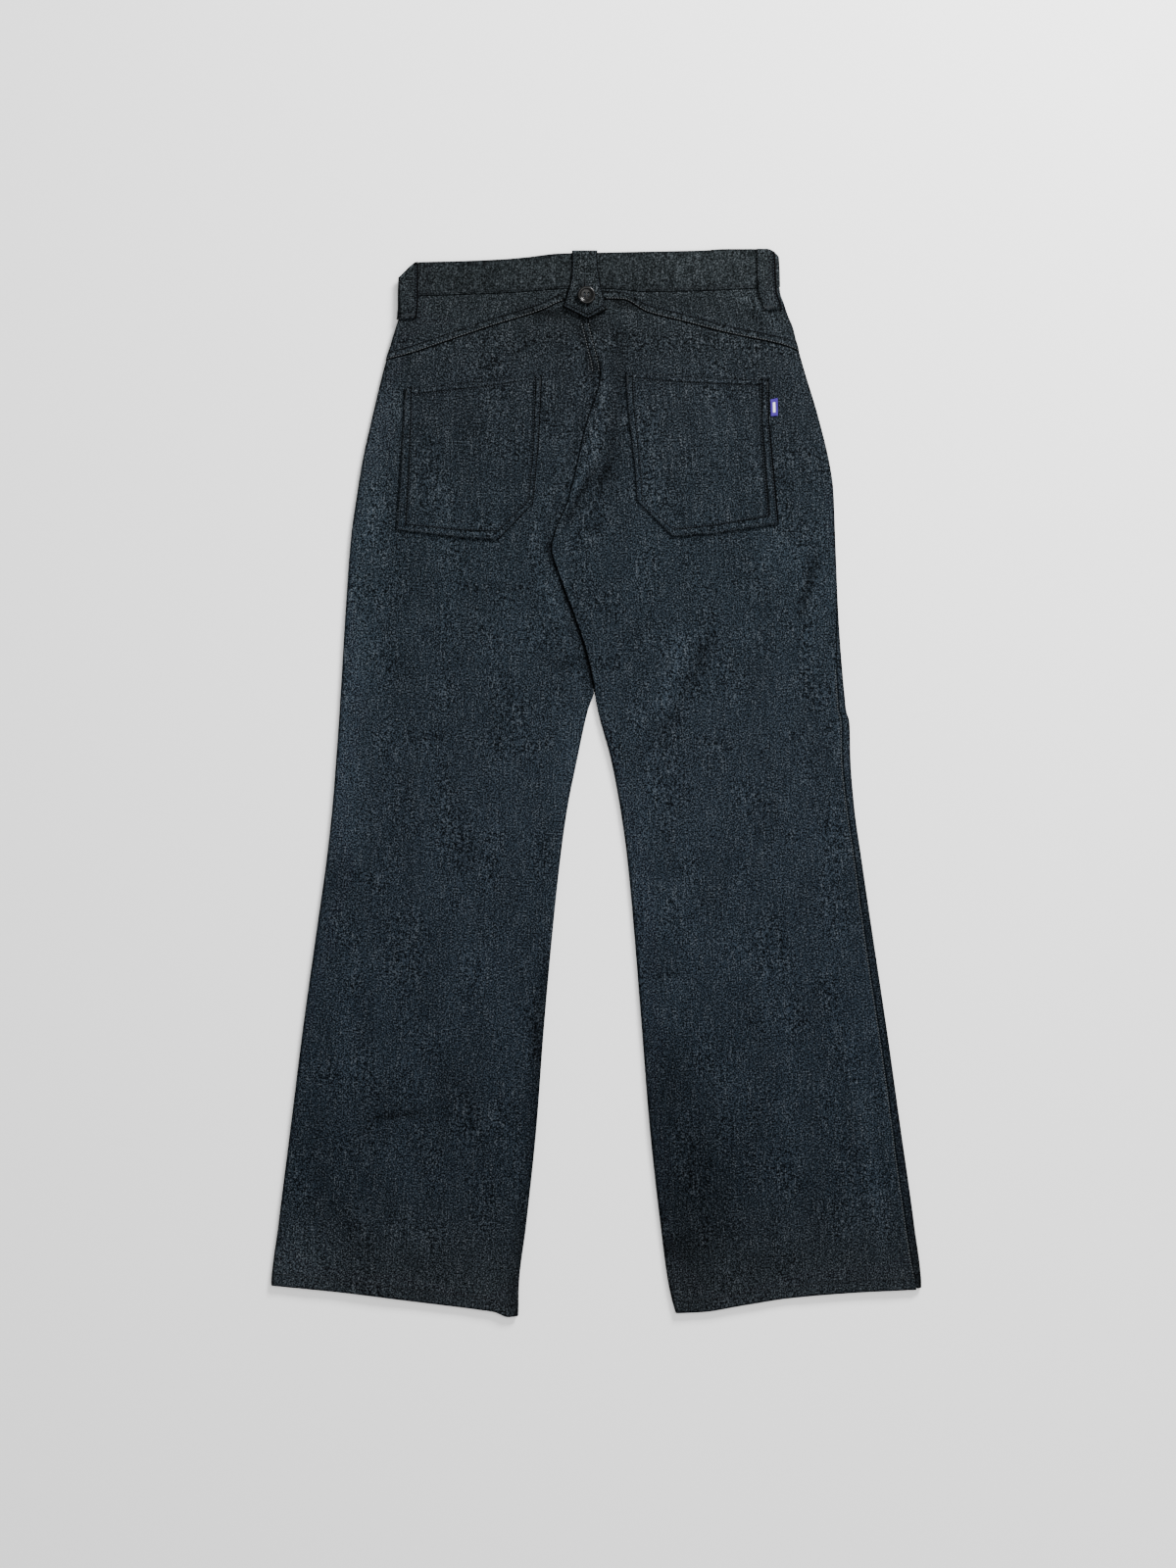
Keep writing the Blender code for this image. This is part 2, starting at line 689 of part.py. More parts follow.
def back_button(horn):
    """A dished button with a rounded rim and four holes."""
    base = WAIST_HEIGHT + BAND_PROUD + SEAM_GAP + TAB_WALL + SEAM_GAP
    piece = turned_button("back_button", BUTTON_AT, base, BUTTON_PROFILE, BUTTON_RADIUS, BUTTON_HEIGHT, horn)
    for k in range(BUTTON_HOLES):
        angle = math.tau * (k + 0.5) / BUTTON_HOLES
        bpy.ops.mesh.primitive_cylinder_add(vertices=12, radius=HOLE_RADIUS / 1000, depth=CUTTER_DEPTH / 1000)
        hole = bpy.context.object
        hole.name = f"button_hole_{k + 1}"
        hole.location = piece.location + Vector((math.cos(angle), math.sin(angle), 0)) * HOLE_OUT / 1000
        hole.hide_render = True
        hole.display_type = "WIRE"
        cut = piece.modifiers.new(hole.name, "BOOLEAN")
        cut.object = hole
        cut.operation = "DIFFERENCE"
        cut.solver = "EXACT"
    return piece


def front_button(metal):
    """The waist button: a low domed cap that the front waist lies on."""
    height = FRONT_LIFT - BAND_PROUD - SEAM_GAP
    profile = FRONT_BUTTON_PROFILE
    return turned_button("front_button", FRONT_BUTTON_AT, 0, profile, FRONT_BUTTON_RADIUS, height, metal)


def fly_strip(cloth):
    """The strip behind the front opening, with a rounded lower corner."""
    columns, rows = 7, sum(level <= FLY_BOTTOM for level in FRONT_ROWS)

    def knot(column, row):
        share = column / (columns - 1)
        rounding = FLY_ROUNDING * max(0, row + 3 - rows) ** 2
        x = FLY_SIDES[0] + (FLY_SIDES[1] - rounding - FLY_SIDES[0]) * share
        level = row_level(FRONT_ROWS, row, front_seam(x) + SEAM_GAP, 0)
        return x, level, front_height(level) + DENIM + SEAM_GAP + DENIM

    return sheet("fly_strip", columns, rows, knot, cloth)


def side_label(cloth):
    """The small folded label caught in the right pocket's outer seam."""

    def knot(column, row):
        u, v = column / 2, row / 3
        top = Vector(LABEL[0]).lerp(Vector(LABEL[1]), u)
        bottom = Vector(LABEL[3]).lerp(Vector(LABEL[2]), u)
        x, level = top.lerp(bottom, v)
        return x, level, back_height(x, level) + SEAM_GAP + DENIM

    return sheet("side_label", 3, 4, knot, cloth)


def clear_scene():
    for leftover in list(bpy.data.objects):
        bpy.data.objects.remove(leftover, do_unlink=True)


def main():
    clear_scene()
    denim = material("denim", INDIGO, 0.9)
    horn = material("horn", HORN, 0.3)
    metal = material("button_metal", METAL, 0.4, 1.0)
    blue = material("label_blue", LABEL_BLUE, 0.7)
    waistband(denim)
    for half in ("left", "right"):
        yoke(f"yoke_{half}", half, denim)
        leg_panel(f"back_leg_{half}", half, True, denim)
        leg_panel(f"front_leg_{half}", half, False, denim)
    pocket_out = SEAM_GAP + DENIM
    patch("back_pocket_left", POCKET_LEFT, denim, pocket_out, "left")
    patch("back_pocket_right", POCKET_RIGHT, denim, pocket_out, "right")
    back_tab(denim)
    for name, edge, first, width, length in SIDE_LOOPS:
        side_loop(name, edge, first, width, length, denim)
    for name, middle in FRONT_LOOPS:
        front_loop(name, middle, denim)
    fly_strip(denim)
    back_button(horn)
    front_button(metal)
    side_label(blue)


main()
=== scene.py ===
"""Bootcut jeans in dark denim, laid flat with the back up.

Outlines are written the way a pattern cutter measures them, in millimetres: x is the distance from the centre
line, to the right as the back is looked at, and level is the distance below the highest point of the waist.
Heights are above the ground. world() turns the three into metres.
"""

import math

import bmesh
import bpy
import numpy as np
from bpy.props import FloatProperty, FloatVectorProperty, PointerProperty
from mathutils import Matrix, Vector
from mathutils.bvhtree import BVHTree

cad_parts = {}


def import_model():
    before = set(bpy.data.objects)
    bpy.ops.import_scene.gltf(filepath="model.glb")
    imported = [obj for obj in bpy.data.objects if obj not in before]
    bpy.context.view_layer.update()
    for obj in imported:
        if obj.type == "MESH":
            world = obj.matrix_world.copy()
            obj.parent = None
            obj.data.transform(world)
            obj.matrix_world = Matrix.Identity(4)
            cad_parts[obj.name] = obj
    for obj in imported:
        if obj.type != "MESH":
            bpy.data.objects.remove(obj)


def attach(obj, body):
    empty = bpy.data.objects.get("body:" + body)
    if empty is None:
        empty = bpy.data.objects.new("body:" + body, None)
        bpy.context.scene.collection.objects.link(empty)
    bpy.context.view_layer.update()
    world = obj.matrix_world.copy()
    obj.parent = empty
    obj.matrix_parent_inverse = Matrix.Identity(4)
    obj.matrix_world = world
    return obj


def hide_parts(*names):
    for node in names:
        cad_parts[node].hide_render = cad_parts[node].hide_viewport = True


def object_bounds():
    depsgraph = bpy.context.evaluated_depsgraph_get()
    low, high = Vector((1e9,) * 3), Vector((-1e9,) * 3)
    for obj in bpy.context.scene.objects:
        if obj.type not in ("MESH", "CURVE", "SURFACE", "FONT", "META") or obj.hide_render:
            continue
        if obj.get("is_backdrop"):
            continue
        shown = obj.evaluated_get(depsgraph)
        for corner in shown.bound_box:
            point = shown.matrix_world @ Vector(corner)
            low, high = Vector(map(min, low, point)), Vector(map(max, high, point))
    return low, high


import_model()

bl_info = {
    "name": "Laid bootcut jeans",
    "version": (1, 0, 0),
    "blender": (4, 5, 0),
    "location": "View3D > Sidebar > Jeans",
    "description": "Dark denim bootcut jeans laid flat with the back up, with seams, stitches and trims",
    "category": "Add Mesh",
}

CAD_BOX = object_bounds()

# The laid shape, in millimetres, as the frame has it.
HALF_LENGTH = 545.5  # from the waist's highest point to the middle of the length
BAND_WALL = 1.6
TAB_WALL = 1.4
LOOP_WALL = 1.4
SEAM_GAP = 0.3  # between sewn pieces
EDGE_GAP = 0.64  # the same round the turned sides
EDGE_UPRIGHT = 0.8  # cloth on each side of the silhouette that stands upright
SEAM_REACH = 3.0  # least width of a panel's zone beside its outseam
BAND_PROUD = 0.5
BODY_HEIGHT = 5.3
WAIST_HEIGHT = 6.8
FRONT_LIFT = BAND_PROUD + SEAM_GAP + LOOP_WALL
UNDER_HEIGHT = 3.6  # of the left half where the lap covers it
LAP_SLOPE = 30.0  # cloth over which it goes down to that
SEAT_FELL = 10.5  # width of the felled seat seam
SEAT_FELL_LIFT = 0.4
TIGHT_TURN = 0.38  # share by which a turned-up hem draws in round the sides
EDGE_REACH = 4.0  # from the silhouette in to where a side fold is flat
LAP_REACH = 1.8  # the same of the lap's fold, and how far its edge goes down
LAP_DROP = 1.2
FRONT_DIP = 15.0  # how much lower the front of the waist hangs
FRONT_HEM_SHORT = 1.5
FORK = 454.0  # level where the legs part

# Stretches along the garment over which something changes: the level of the start, and the length it takes.
BODY_ZONE = (78, 40)  # the back comes down from the waist's height to the body's
GROUND_ZONE = (82, 40)  # the front comes down to the ground
CALM_ZONE = (60, 60)  # the swells set in below the waist
HEM_CALM_ZONE = (983, 60)  # and die away at the front's hem
SEAT_FELL_ZONE = (122, 12)  # the felled seat seam ends
LAP_ZONE = (98, 36)  # the left half goes down under the lap
LAP_END_ZONE = (430, 22)  # and comes up again at the fork
LAP_EDGE_ZONE = (100, 22)  # the right half's edge turns down as the lap's fold
CENTRE_ZONE = (130, 10)  # the centre back seam passes under the lap
LEFT_FORK_ZONE = (436, 18)  # the inner edges close round the legs
RIGHT_FORK_ZONE = (442, 12)
FRONT_FORK_ZONE = (438, 16)
LAP_SHADE_ZONE = (128, 40)
LAP_SHADE_END_ZONE = (446, 12)
SEAT_STITCH_ZONE = (70, 4)
SEAT_STITCH_END_ZONE = (124, 8)
ROLL_ZONE = (420, 40)  # the rolled outseam shows as a line
ROLL_END_ZONE = (1043, 20)
ROLL_SHADE_ZONE = (560, 160)

SEAM_BAND = 15.0  # rows keep their distance from the upper seam over this
SEAM_ZONE = 200.0  # below this level rows no longer follow the upper seam
HEM_ZONE = 953.0  # below this level they follow the hem
HEM_BAND = 25.0

# The silhouette: x of the four leg edges at each level. Above the fork the inner two follow the lap.
LEG_EDGES = (
    # level, left outer, left inner, right inner, right outer
    (1, -199, None, None, 186), (45, -199.3, None, None, 188), (57, -199.3, None, None, 192),
    (69, -200.5, None, None, 196), (81, -204, None, None, 201), (97, -209, None, None, 205),
    (122, -216, None, None, 212), (172, -228, None, None, 227), (222, -239, None, None, 239),
    (247, -243, None, None, 242.5), (297, -250, None, None, 244.5), (372, -255.5, None, None, 247.5),
    (447, -260, None, None, 253), (454, -260.5, -1.7, -1.3, 253.8), (472, -261.5, -8, 2, 255.5),
    (484, -262.3, -11, 5, 259), (522, -265, -19, 15.5, 260), (572, -269, -29, 25, 264),
    (622, -274.5, -36, 32, 271), (697, -285, -44, 39, 282), (797, -299, -53, 47, 297),
    (897, -311.5, -60.5, 55, 311), (997, -324, -71, 66, 325), (1059, -331, -78.5, 74.5, 332),
    (1095, -331, -79.5, 84, 332),
)
# The back of the seat: the lap's folded edge, and how far the left panel goes on under it.
SEAT_LAP = (
    # level, x, under
    (50, -9, -0.3), (75, -7, -0.3), (97, -2, -0.3), (128, 4.4, -0.4), (139, 3, 3), (152, -1, 7),
    (182, -11, 13), (227, -21, 14), (261, -30, 14), (286, -41, 14), (306, -46, 14), (336, -37, 13),
    (382, -20, 8), (409, -11, 4), (434, -5, -0.4), (454, -1.3, -0.4),
)
WAIST_TOP = (
    # x, level of the waistband's upper edge
    (-202, 34), (-195, 25), (-189, 19), (-183, 15), (-144, 14), (-96, 12), (-72, 10), (-36, 6), (12, 5),
    (60, 4), (108, 3), (132, 1.5), (175, 1.5), (184, 6), (190, 15),
)
WAIST_SEAM = (
    # x, level of the waistband's lower edge
    (-202, 50), (-138, 48), (-88, 46), (-48, 43), (-30, 41.8), (12, 42), (52, 45), (92, 44.5), (132, 43),
    (190, 40),
)
YOKE_SEAM = (
    # x, level
    (-218, 116), (-188, 108), (-158, 98), (-108, 81), (-58, 65.5), (-31, 54), (-10, 50), (12, 53), (28, 53.5),
    (52, 66), (92, 76.5), (136, 88), (192, 100), (212, 108),
)
HEM_LEFT = (
    # x, level
    (-331, 1059), (-260, 1066), (-188, 1075), (-116, 1084), (-103, 1086), (-90, 1091), (-79, 1090),
)
HEM_RIGHT = (
    # x, level
    (84, 1087), (108, 1086), (148, 1079.5), (196, 1072), (268, 1066), (332, 1063),
)
# How far the right outseam is rolled onto the back.
OUTSEAM_ROLL = (
    # level, distance in from the silhouette
    (330, 0), (387, 4.5), (437, 7), (520, 9), (600, 7.5), (747, 9), (845, 8.5), (953, 9.5), (1027, 9),
    (1063, 6),
)
CENTRE_FRONT = (
    # level, x
    (16, -10), (60, -10), (230, -7), (454, -1.5),
)
# Creases of the upper side: ridges, and troughs where height is negative. bow is how far the middle lies off
# the straight line.
BACK_CREASES = (
    # from x, level, to x, level, bow, half width, height
    (14, 130, -38, 300, 5, 15, 1.1), (26, 205, -22, 285, 2, 9, -0.6), (100, 385, 48, 500, 4, 15, 0.9),
    (120, 385, 56, 525, 3, 12, -1.0), (227, 320, 206, 392, -3, 10, -0.8), (-150, 348, -52, 350, 2, 8, -0.6),
    (-206, 498, -155, 498, -2, 8, -0.8), (-230, 890, -165, 884, 2, 9, -0.6), (92, 505, 146, 513, 3, 8, -0.8),
    (-44, 310, -32, 425, 4, 12, 0.8), (-34, 420, 38, 418, -5, 12, -0.7), (-20, 350, -40, 420, 3, 9, -0.6),
    (16, 230, 40, 262, 4, 10, -0.5), (36, 228, 20, 262, -2, 9, 0.4), (232, 330, 214, 430, -4, 9, 0.7),
    (-80, 508, -40, 508, 2, 8, -0.5), (184, 496, 214, 496, -2, 8, -0.6), (94, 668, 134, 672, 2, 9, -0.5),
    (58, 742, 84, 746, 1, 9, -0.5), (-160, 352, -166, 372, 0, 6, -0.5), (145, 50, 186, 86, 4, 10, 0.8),
    (150, 62, 176, 90, 3, 7, -0.6), (-225, 220, -236, 320, 3, 12, 0.6), (-210, 230, -222, 330, 3, 11, -0.4),
    (-60, 92, -28, 112, 6, 13, -0.7), (14, 78, 44, 96, -5, 12, -0.6), (-18, 84, -30, 128, -3, 8, 0.5),
    (-10, 128, 2, 152, 2, 9, -0.8), (-158, 828, -116, 938, 6, 18, -0.5), (-262, 850, -236, 700, 6, 20, 0.5),
    (-136, 640, -126, 600, 2, 16, -0.5), (-66, 770, -58, 840, -2, 11, -0.6),
    (84, 890, 116, 1030, 6, 24, -0.6), (150, 840, 176, 1000, -8, 22, 0.5), (-96, 560, -150, 700, 9, 22, 0.5),
    (250, 470, 236, 505, -2, 10, -0.7), (-258, 640, -212, 655, 4, 14, -0.4), (196, 560, 226, 640, 6, 20, 0.4),
)
# Creases of the hidden lower side press into it from the ground, so all of them are hollows.
FRONT_CREASES = (
    (-40, 250, -150, 210, 9, 12, 0.9), (-36, 272, -170, 262, 11, 13, 0.7), (30, 255, 130, 205, -8, 12, 0.8),
    (30, 280, 168, 268, -10, 13, 0.8), (-30, 330, -96, 380, 5, 11, 0.7), (40, 335, 120, 398, -6, 12, 0.6),
    (-242, 500, -178, 506, -3, 9, 0.8), (-120, 512, -66, 506, 2, 8, 0.6), (80, 498, 148, 508, 3, 9, 0.8),
    (190, 512, 236, 502, -2, 8, 0.5), (-200, 880, -140, 890, 3, 10, 0.5), (150, 700, 196, 706, 2, 9, 0.5),
    (-230, 640, -214, 730, 5, 14, 0.5), (110, 860, 132, 960, 6, 16, 0.5),
)
# Slow swells of the whole cloth, as waves.
SWELLS = (
    # length along x, along level, start, height
    (190, 420, 0.4, 0.16), (-120, 260, 2.1, 0.14), (75, -310, 4.0, 0.10), (-58, 150, 1.2, 0.08),
    (340, 96, 5.3, 0.09), (46, 210, 3.1, 0.06), (-230, 63, 0.9, 0.06),
)
# Puckers that seams draw into the cloth beside them.
PUCKERS = (
    (9.5, 13.0, 0.3, 0.09), (-14.0, 8.7, 1.9, 0.08), (6.1, -21.0, 4.4, 0.06), (22.0, 6.6, 2.7, 0.06),
)
PUCKER_REACH = 14.0
OUT_OF_REACH = 400.0  # added to the distance from a seam that has ended
FRONT_SWELL_SHIFT = 37.0  # so the front's swells aren't the back's
GROUND_CLEAR = 0.35

# Painted light and shade: places where the cloth is painted lighter or darker than round them, such as the
# shadows under the tab and at the end of the centre seam, and where the light falls brighter or dimmer.
PAINTED_SHADE_PATCHES = (
    # x, level, reach along x, reach along level, change
    (110, 14, 110, 48, 0.22), (-226, 270, 26, 100, 0.14), (-8, 80, 40, 20, -0.42), (75, 58, 60, 18, -0.22),
    (-3, 122, 17, 18, -0.56), (-199, 38, 10, 44, 0.50), (2, 286, 24, 38, -0.14), (106, 970, 104, 160, -0.28),
    (75, 850, 44, 90, -0.14), (86, 1020, 40, 24, -0.22), (181, 1036, 54, 18, -0.20),
    (-100, 71, 26, 12, -0.16), (-69, 98, 22, 14, -0.12), (-178, 59, 26, 14, 0.14), (150, 68, 22, 14, -0.14),
    (-148, 200, 90, 110, -0.10), (105, 205, 90, 100, 0.06), (189, 312, 30, 40, 0.18), (64, 677, 42, 46, 0.20),
    (150, 731, 56, 54, 0.12), (72, 739, 30, 13, -0.14), (-116, 723, 48, 48, 0.16), (-233, 833, 56, 34, 0.16),
    (-194, 934, 56, 46, 0.14), (-296, 1030, 64, 56, 0.28), (-180, 1000, 60, 50, 0.08),
    (-280, 917, 30, 90, -0.14), (-150, 885, 30, 90, -0.10), (-62, 800, 18, 60, -0.14),
    (-135, 631, 40, 60, -0.06), (-247, 670, 30, 50, -0.06), (-110, 480, 90, 60, -0.05),
    (-5, 380, 26, 50, -0.10), (228, 480, 22, 90, -0.08),
)
# Longer places of painted light and shade, along bowed lines. Hollows of the creases get painted shade and
# ridges painted light besides.
PAINTED_SHADE_LINES = (
    # from x, level, to x, level, bow, half width, change
    (-84, 62, -24, 70, 0, 11, -0.60), (12, 50, 50, 58, -3, 11, -0.60), (-16, 84, 0, 126, 0, 9, -0.36),
    (24, 84, 24, 160, 0, 15, -0.30), (12, 140, -8, 214, 0, 6, 0.18), (-8, 214, -36, 290, 0, 6, 0.22),
    (2, 216, -35, 290, 0, 9, -0.85), (23, 140, 9, 262, 0, 14, -0.36), (17, 214, -6, 256, 0, 6, -0.26),
    (-25, 214, -38, 264, 0, 7, 0.24), (-33, 220, -44, 272, 0, 5, -0.20), (-57, 214, -57, 240, 0, 10, -0.16),
    (95, 372, 34, 512, 3, 15, 0.20), (120, 386, 94, 452, 2, 12, -0.24), (64, 478, 46, 522, 0, 13, -0.22),
    (26, 396, 60, 380, 0, 13, -0.18), (231, 302, 208, 382, -3, 8, -0.42), (246, 330, 226, 420, -3, 10, 0.22),
    (216, 136, 220, 192, 0, 9, -0.20), (-233, 891, -167, 880, 2, 7, -0.34),
    (-150, 350, -60, 352, 2, 7, -0.16), (-255, 985, -225, 1030, 0, 18, -0.18),
    (-155, 830, -150, 900, 0, 16, -0.12), (258, 800, 300, 1050, 0, 15, 0.30),
    (-64, 415, -20, 432, 0, 8, -0.26),
)
# Strips of painted light and shade along the silhouette.
PAINTED_SHADE_EDGES = (
    # edge, from level, to level, reach, change
    ("left_outer", 120, 640, 54, 0.42), ("left_inner", 440, 610, 40, 0.24),
    ("left_inner", 690, 1130, 18, -0.46), ("right_outer", 60, 330, 26, 0.12),
    ("right_inner", 540, 700, 24, 0.10), ("right_inner", 780, 1130, 100, -0.14),
    ("left_outer", 960, 1130, 46, 0.16),
)
EDGE_SHADE_ENDS = 50  # length over which such a strip fades at its ends
CREASE_SHADE = 0.20  # painted light on ridges and painted shade in hollows, for each millimetre that a crease stands up or goes down
# The darkest that painted shade makes the cloth, as a share of its lightness.
DARKEST_SHADE = 0.12
# The darker hollow left of the lap: how dark, how far its middle is off the lap's edge, half its width.
LAP_SHADE, LAP_SHADE_OFF, LAP_SHADE_HALF = 0.24, 5, 11
# How much darker the line is where the lap casts its shadow, at each level.
LAP_LINE = ((122, 0.0), (127, 0.8), (290, 0.8), (305, 0.9), (446, 0.9), (458, 0.0))
LAP_LINE_REACH = 1.2
# Further down, where the fold stands higher, the cloth beside it is dark as well.
LAP_SHADOW = ((285, 0.0), (305, 0.75), (446, 0.8), (458, 0.0))
LAP_SHADOW_OFF, LAP_SHADOW_REACH = 0.6, 1.7
# Painted shade where the cloth rolls under at the silhouette: how much darker it is, from a level down.
SILHOUETTE_SHADE = (
    # edge, level, change
    ("left_outer", 45, 0.42), ("left_inner", 470, 0.30), ("right_outer", 45, 0.62),
    ("right_inner", 470, 0.50),
)
SILHOUETTE_REACH = 2.1
HEM_SHADE = 0.50
WAIST_SHADE = 0.35
ROLL_SHADE = 0.38  # of the strip of front cloth that the rolled outseam brings up
ROLL_LIGHT = 0.12  # of the back cloth that swells beside it
ROLL_LIGHT_OFF = 3.0
# Painted shade in a stitch row's groove: how much darker it is, and how much more so on a side that faces the
# key light.
GROOVE_SHADE, LIT_SHADE = 0.78, 0.17
GROOVE_REACH, LIT_REACH = 0.9, 0.3
GROOVE_OFF = 0.7  # the groove lies on the side of the row that is nearer the edge
EDGE_LINE = 1.2  # reach of the painted shadow line along a seamed edge
FELL_LIGHT = 0.16  # painted light on the raised cloth between two rows: how much lighter it is

# Outlines of the back pockets, a line of x and level for each side.
POCKETS = {
    "left": {
        "top": ((-195, 143), (-55, 130)),
        "inner": ((-55, 130), (-55.5, 147), (-58, 197), (-64, 261)),
        "bottom": ((-204, 288), (-138, 296), (-100, 298.5), (-64, 261)),
        "outer": ((-195, 143), (-197, 187), (-200, 237), (-204, 288)),
    },
    "right": {
        "top": ((30, 127), (176.5, 134)),
        "inner": ((30, 127), (32, 157), (40, 227), (42, 258)),
        "bottom": ((42, 258), (79, 295), (122, 292), (187, 282)),
        "outer": ((176.5, 134), (177, 177), (180, 207), (187, 282)),
    },
}

LABEL = ((178.0, 155), (185.3, 153.4), (185.6, 171.5), (178.6, 172))
# The centre back tab: x of its two sides at each level, down to the corners above its point.
TAB_SIDES = (
    # level, left, right
    (0, -24.5, 1.8), (9, -24.4, 1.6), (32, -25.5, 4), (47, -29.5, 7.5), (53, -31, 9), (61, -34, 11.5),
)
TAB_POINT = (-8.0, 73.5)
TAB_TAIL = 8.0
BUTTON_AT = (-9.5, 49.0)
BUTTON_RADIUS = 9.0
BUTTON_HEIGHT = 3.2
FRONT_BUTTON_AT = (-10.0, 39.0)
FRONT_BUTTON_RADIUS = 8.5
FLY_BOTTOM = 230.0
FLY_SIDES = (-34.0, 14.0)
FLY_ROUNDING = 22.0  # how far its lower corner is cut back
# The fly's two curved rows: their reach from the centre, the gap between them and the height of the curve.
FLY_ROW, FLY_ROW_GAP, FLY_CURVE = 34.0, 6.0, 44
# The front pockets' mouths: x and level of the curve's middle, its two radii, and the two rows beside it.
MOUTH_MIDDLE, MOUTH_RADII, MOUTH_CURVE_ROWS = (206, 58), (104, 84), (1.6, 7.6)

# Rows and columns of the cloth's grids, as distances from an edge, closer where stitches pull a groove.
PANEL_TOP = 50.0
PANEL_LENGTH = 1040.0
SEAM_ROWS = (0, 0.9, 2.0, 3.4, 5.2, 8.0, 11.5, SEAM_BAND)
HEM_STITCH = 12.0
HEM_ROWS = (0, 1.0, 2.4, 4.5, 7.5, 10.0, 11.2, 12.0, 12.8, 13.8, 16.0, 20.0, HEM_BAND)
HEM_TURN = 1.1  # radius of the hem's fold
LEG_STEP = 3.8
FRONT_STEP = 5.0
LEG_COLUMNS = 60
FRONT_COLUMNS = 44
YOKE_ROWS = 16
YOKE_STITCHES = (1.5, 8.2)
FELL_WIDTH = 10.5
FELL_ROWS = (0, 0.8, 1.5, 2.2, 3.2, 4.8, 6.4, 7.4, 8.2, 9.0, 10.4, 12.5)
BAND_STEP = 4.0
BAND_STITCH = 2.7
SEAT_STITCHES = (1.2, 7.8)
POCKET_WIDTH = 140.0
POCKET_DEPTH = 155.0
POCKET_STITCHES = (1.6, 7.6)
POCKET_FELL = 10.0
POCKET_LEAST_LIT = 0.4
POCKET_ROWS = (0, 0.8, 1.6, 2.4, 3.6, 5.2, 6.8, 7.6, 8.4, 9.6, 11.5)
MOUTH_STITCHES = (3.4, 9.6)
MOUTH_FELL = 12.0
MOUTH_ROWS = (0, 1.0, 2.4, 3.4, 4.4, 6.0, 8.4, 9.6, 10.6, 12.0, 14.0)
TAB_ACROSS = (0, 0.02, 0.04, 0.06, 0.085, 0.12)
TAB_STITCHES = (2.1,)
TAB_POINT_STITCHES = (1.6, 5.0)
TAB_ROWS = (0, 0.8, 1.6, 2.4, 3.4, 4.2, 5.0, 5.8, 7.0, 8.4)
SLOT_X = -11.8
SLOT_TOP = 31.0
SLOT_BOTTOM = 47.0
LOOP_ACROSS = (0, 0.05, 0.1, 0.15, 0.2, 0.28)
LOOP_STITCH = 2.2
LABEL_WALL = 0.6
HOLE_OUT = 2.6  # from the back button's middle to each hole
SIDE_LOOPS = {"left": (0.5, 18.5, 58.0), "right": (4.5, 18.5, 62.0)}  # first, width, length
FRONT_LOOPS = (("left", -112.0), ("right", 92.0))  # x of their middles
FRONT_LOOP_SIZE = (15.0, 58.0)
# The back button's profile before and after its rim, in shares of its radius and height.
BUTTON_FOOT = ((0, 0), (0.6, 0), (0.8, 0.08))
BUTTON_DISH = ((0.66, 0.72), (0.58, 0.62), (0.48, 0.585), (0.25, 0.57), (0, 0.565))
SLOT_DEPTH = 0.9
BAND_DEPTH = 40.0
BAND_SWELL = 0.35
BAND_TOP_ROWS = (0, 0.9, 2.0, 4.0)
BAND_SEAM_ROWS = (0, 0.8, 1.9, 2.7, 3.5, 4.6)
BAND_SIDE_LEVEL = 20.0
# On the front, x of the waistband's two ends and where its under end steps down to the ground.
BAND_UNDER_END, BAND_OVER_END = -30.0, 12.0
BAND_STEP_DOWN = (20.0, 34.0)
BAR_TACKS = (
    # cloth, from x and level, to x and level, width
    ("belt_loop_left_cloth", (-198, 70.5), (-184.5, 69), 2.8),
    ("belt_loop_right_cloth", (167.5, 62), (182, 61), 2.8),
    ("back_pocket_left_cloth", (-57, 134), (-57.2, 142), 2.0),
    ("back_pocket_left_cloth", (-193, 146.5), (-193.8, 154), 2.0),
    ("back_pocket_right_cloth", (32, 131), (32.4, 139), 2.0),
    ("back_pocket_right_cloth", (174.6, 137.5), (175, 145), 2.0),
)
TACK_PITCH = 0.55
STRAND_GAP = 0.34  # between the strands that hold the back button
# The yoke's rows, each from one x to another on the left and on the right half; the lower one takes the
# thread with painted highlight.
YOKE_THREADS = (
    # name, thread, distance above the seam, left run, right run
    ("lower", "bright", YOKE_STITCHES[0], ((-213.5, -34), (10, 207))),
    ("upper", "pocket", YOKE_STITCHES[1], ((-211, -46), (22, 206))),
)
BACK_BAND_RUNS = ((-180, -29), (7, 163))
FRONT_BAND_RUNS = ((-176, 6), (20, 160))
HEM_RUNS = {"left": (-328, -82), "right": (88, 329)}

LEG_LEANS = (("left", 0.055), ("right", -0.06))  # how far each leg's grain leans, in radians
YOKE_LEAN = 0.25
# Each piece's cut, as far as it shows: width, length and area, in metres.
CUTS = {
    "waistband": (0.80, 0.042, 0.032),
    "yoke_left": (0.215, 0.068, 0.0080),
    "yoke_right": (0.215, 0.060, 0.0080),
    "back_leg_left": (0.30, 1.05, 0.240),
    "back_leg_right": (0.30, 1.05, 0.240),
    "front_leg_left": (0.29, 1.05, 0.240),
    "front_leg_right": (0.30, 1.05, 0.250),
    "back_pocket_left": (0.145, 0.168, 0.021),
    "back_pocket_right": (0.145, 0.168, 0.021),
    "back_tab": (0.046, 0.085, 0.0028),
    "belt_loop_left": (0.0185, 0.058, 0.00105),
    "belt_loop_right": (0.0185, 0.062, 0.00113),
    "belt_loop_front_left": (0.015, 0.058, 0.00087),
    "belt_loop_front_right": (0.015, 0.058, 0.00087),
    "fly_strip": (0.048, 0.175, 0.0078),
    "side_label": (0.010, 0.018, 0.000135),
}

# The picture's middle on the ground, and the stage.
PHOTO_MIDDLE = (-0.008, -0.0015)
CLOTH_PLANE = 0.004
FLOOR_DROP = 0.0002
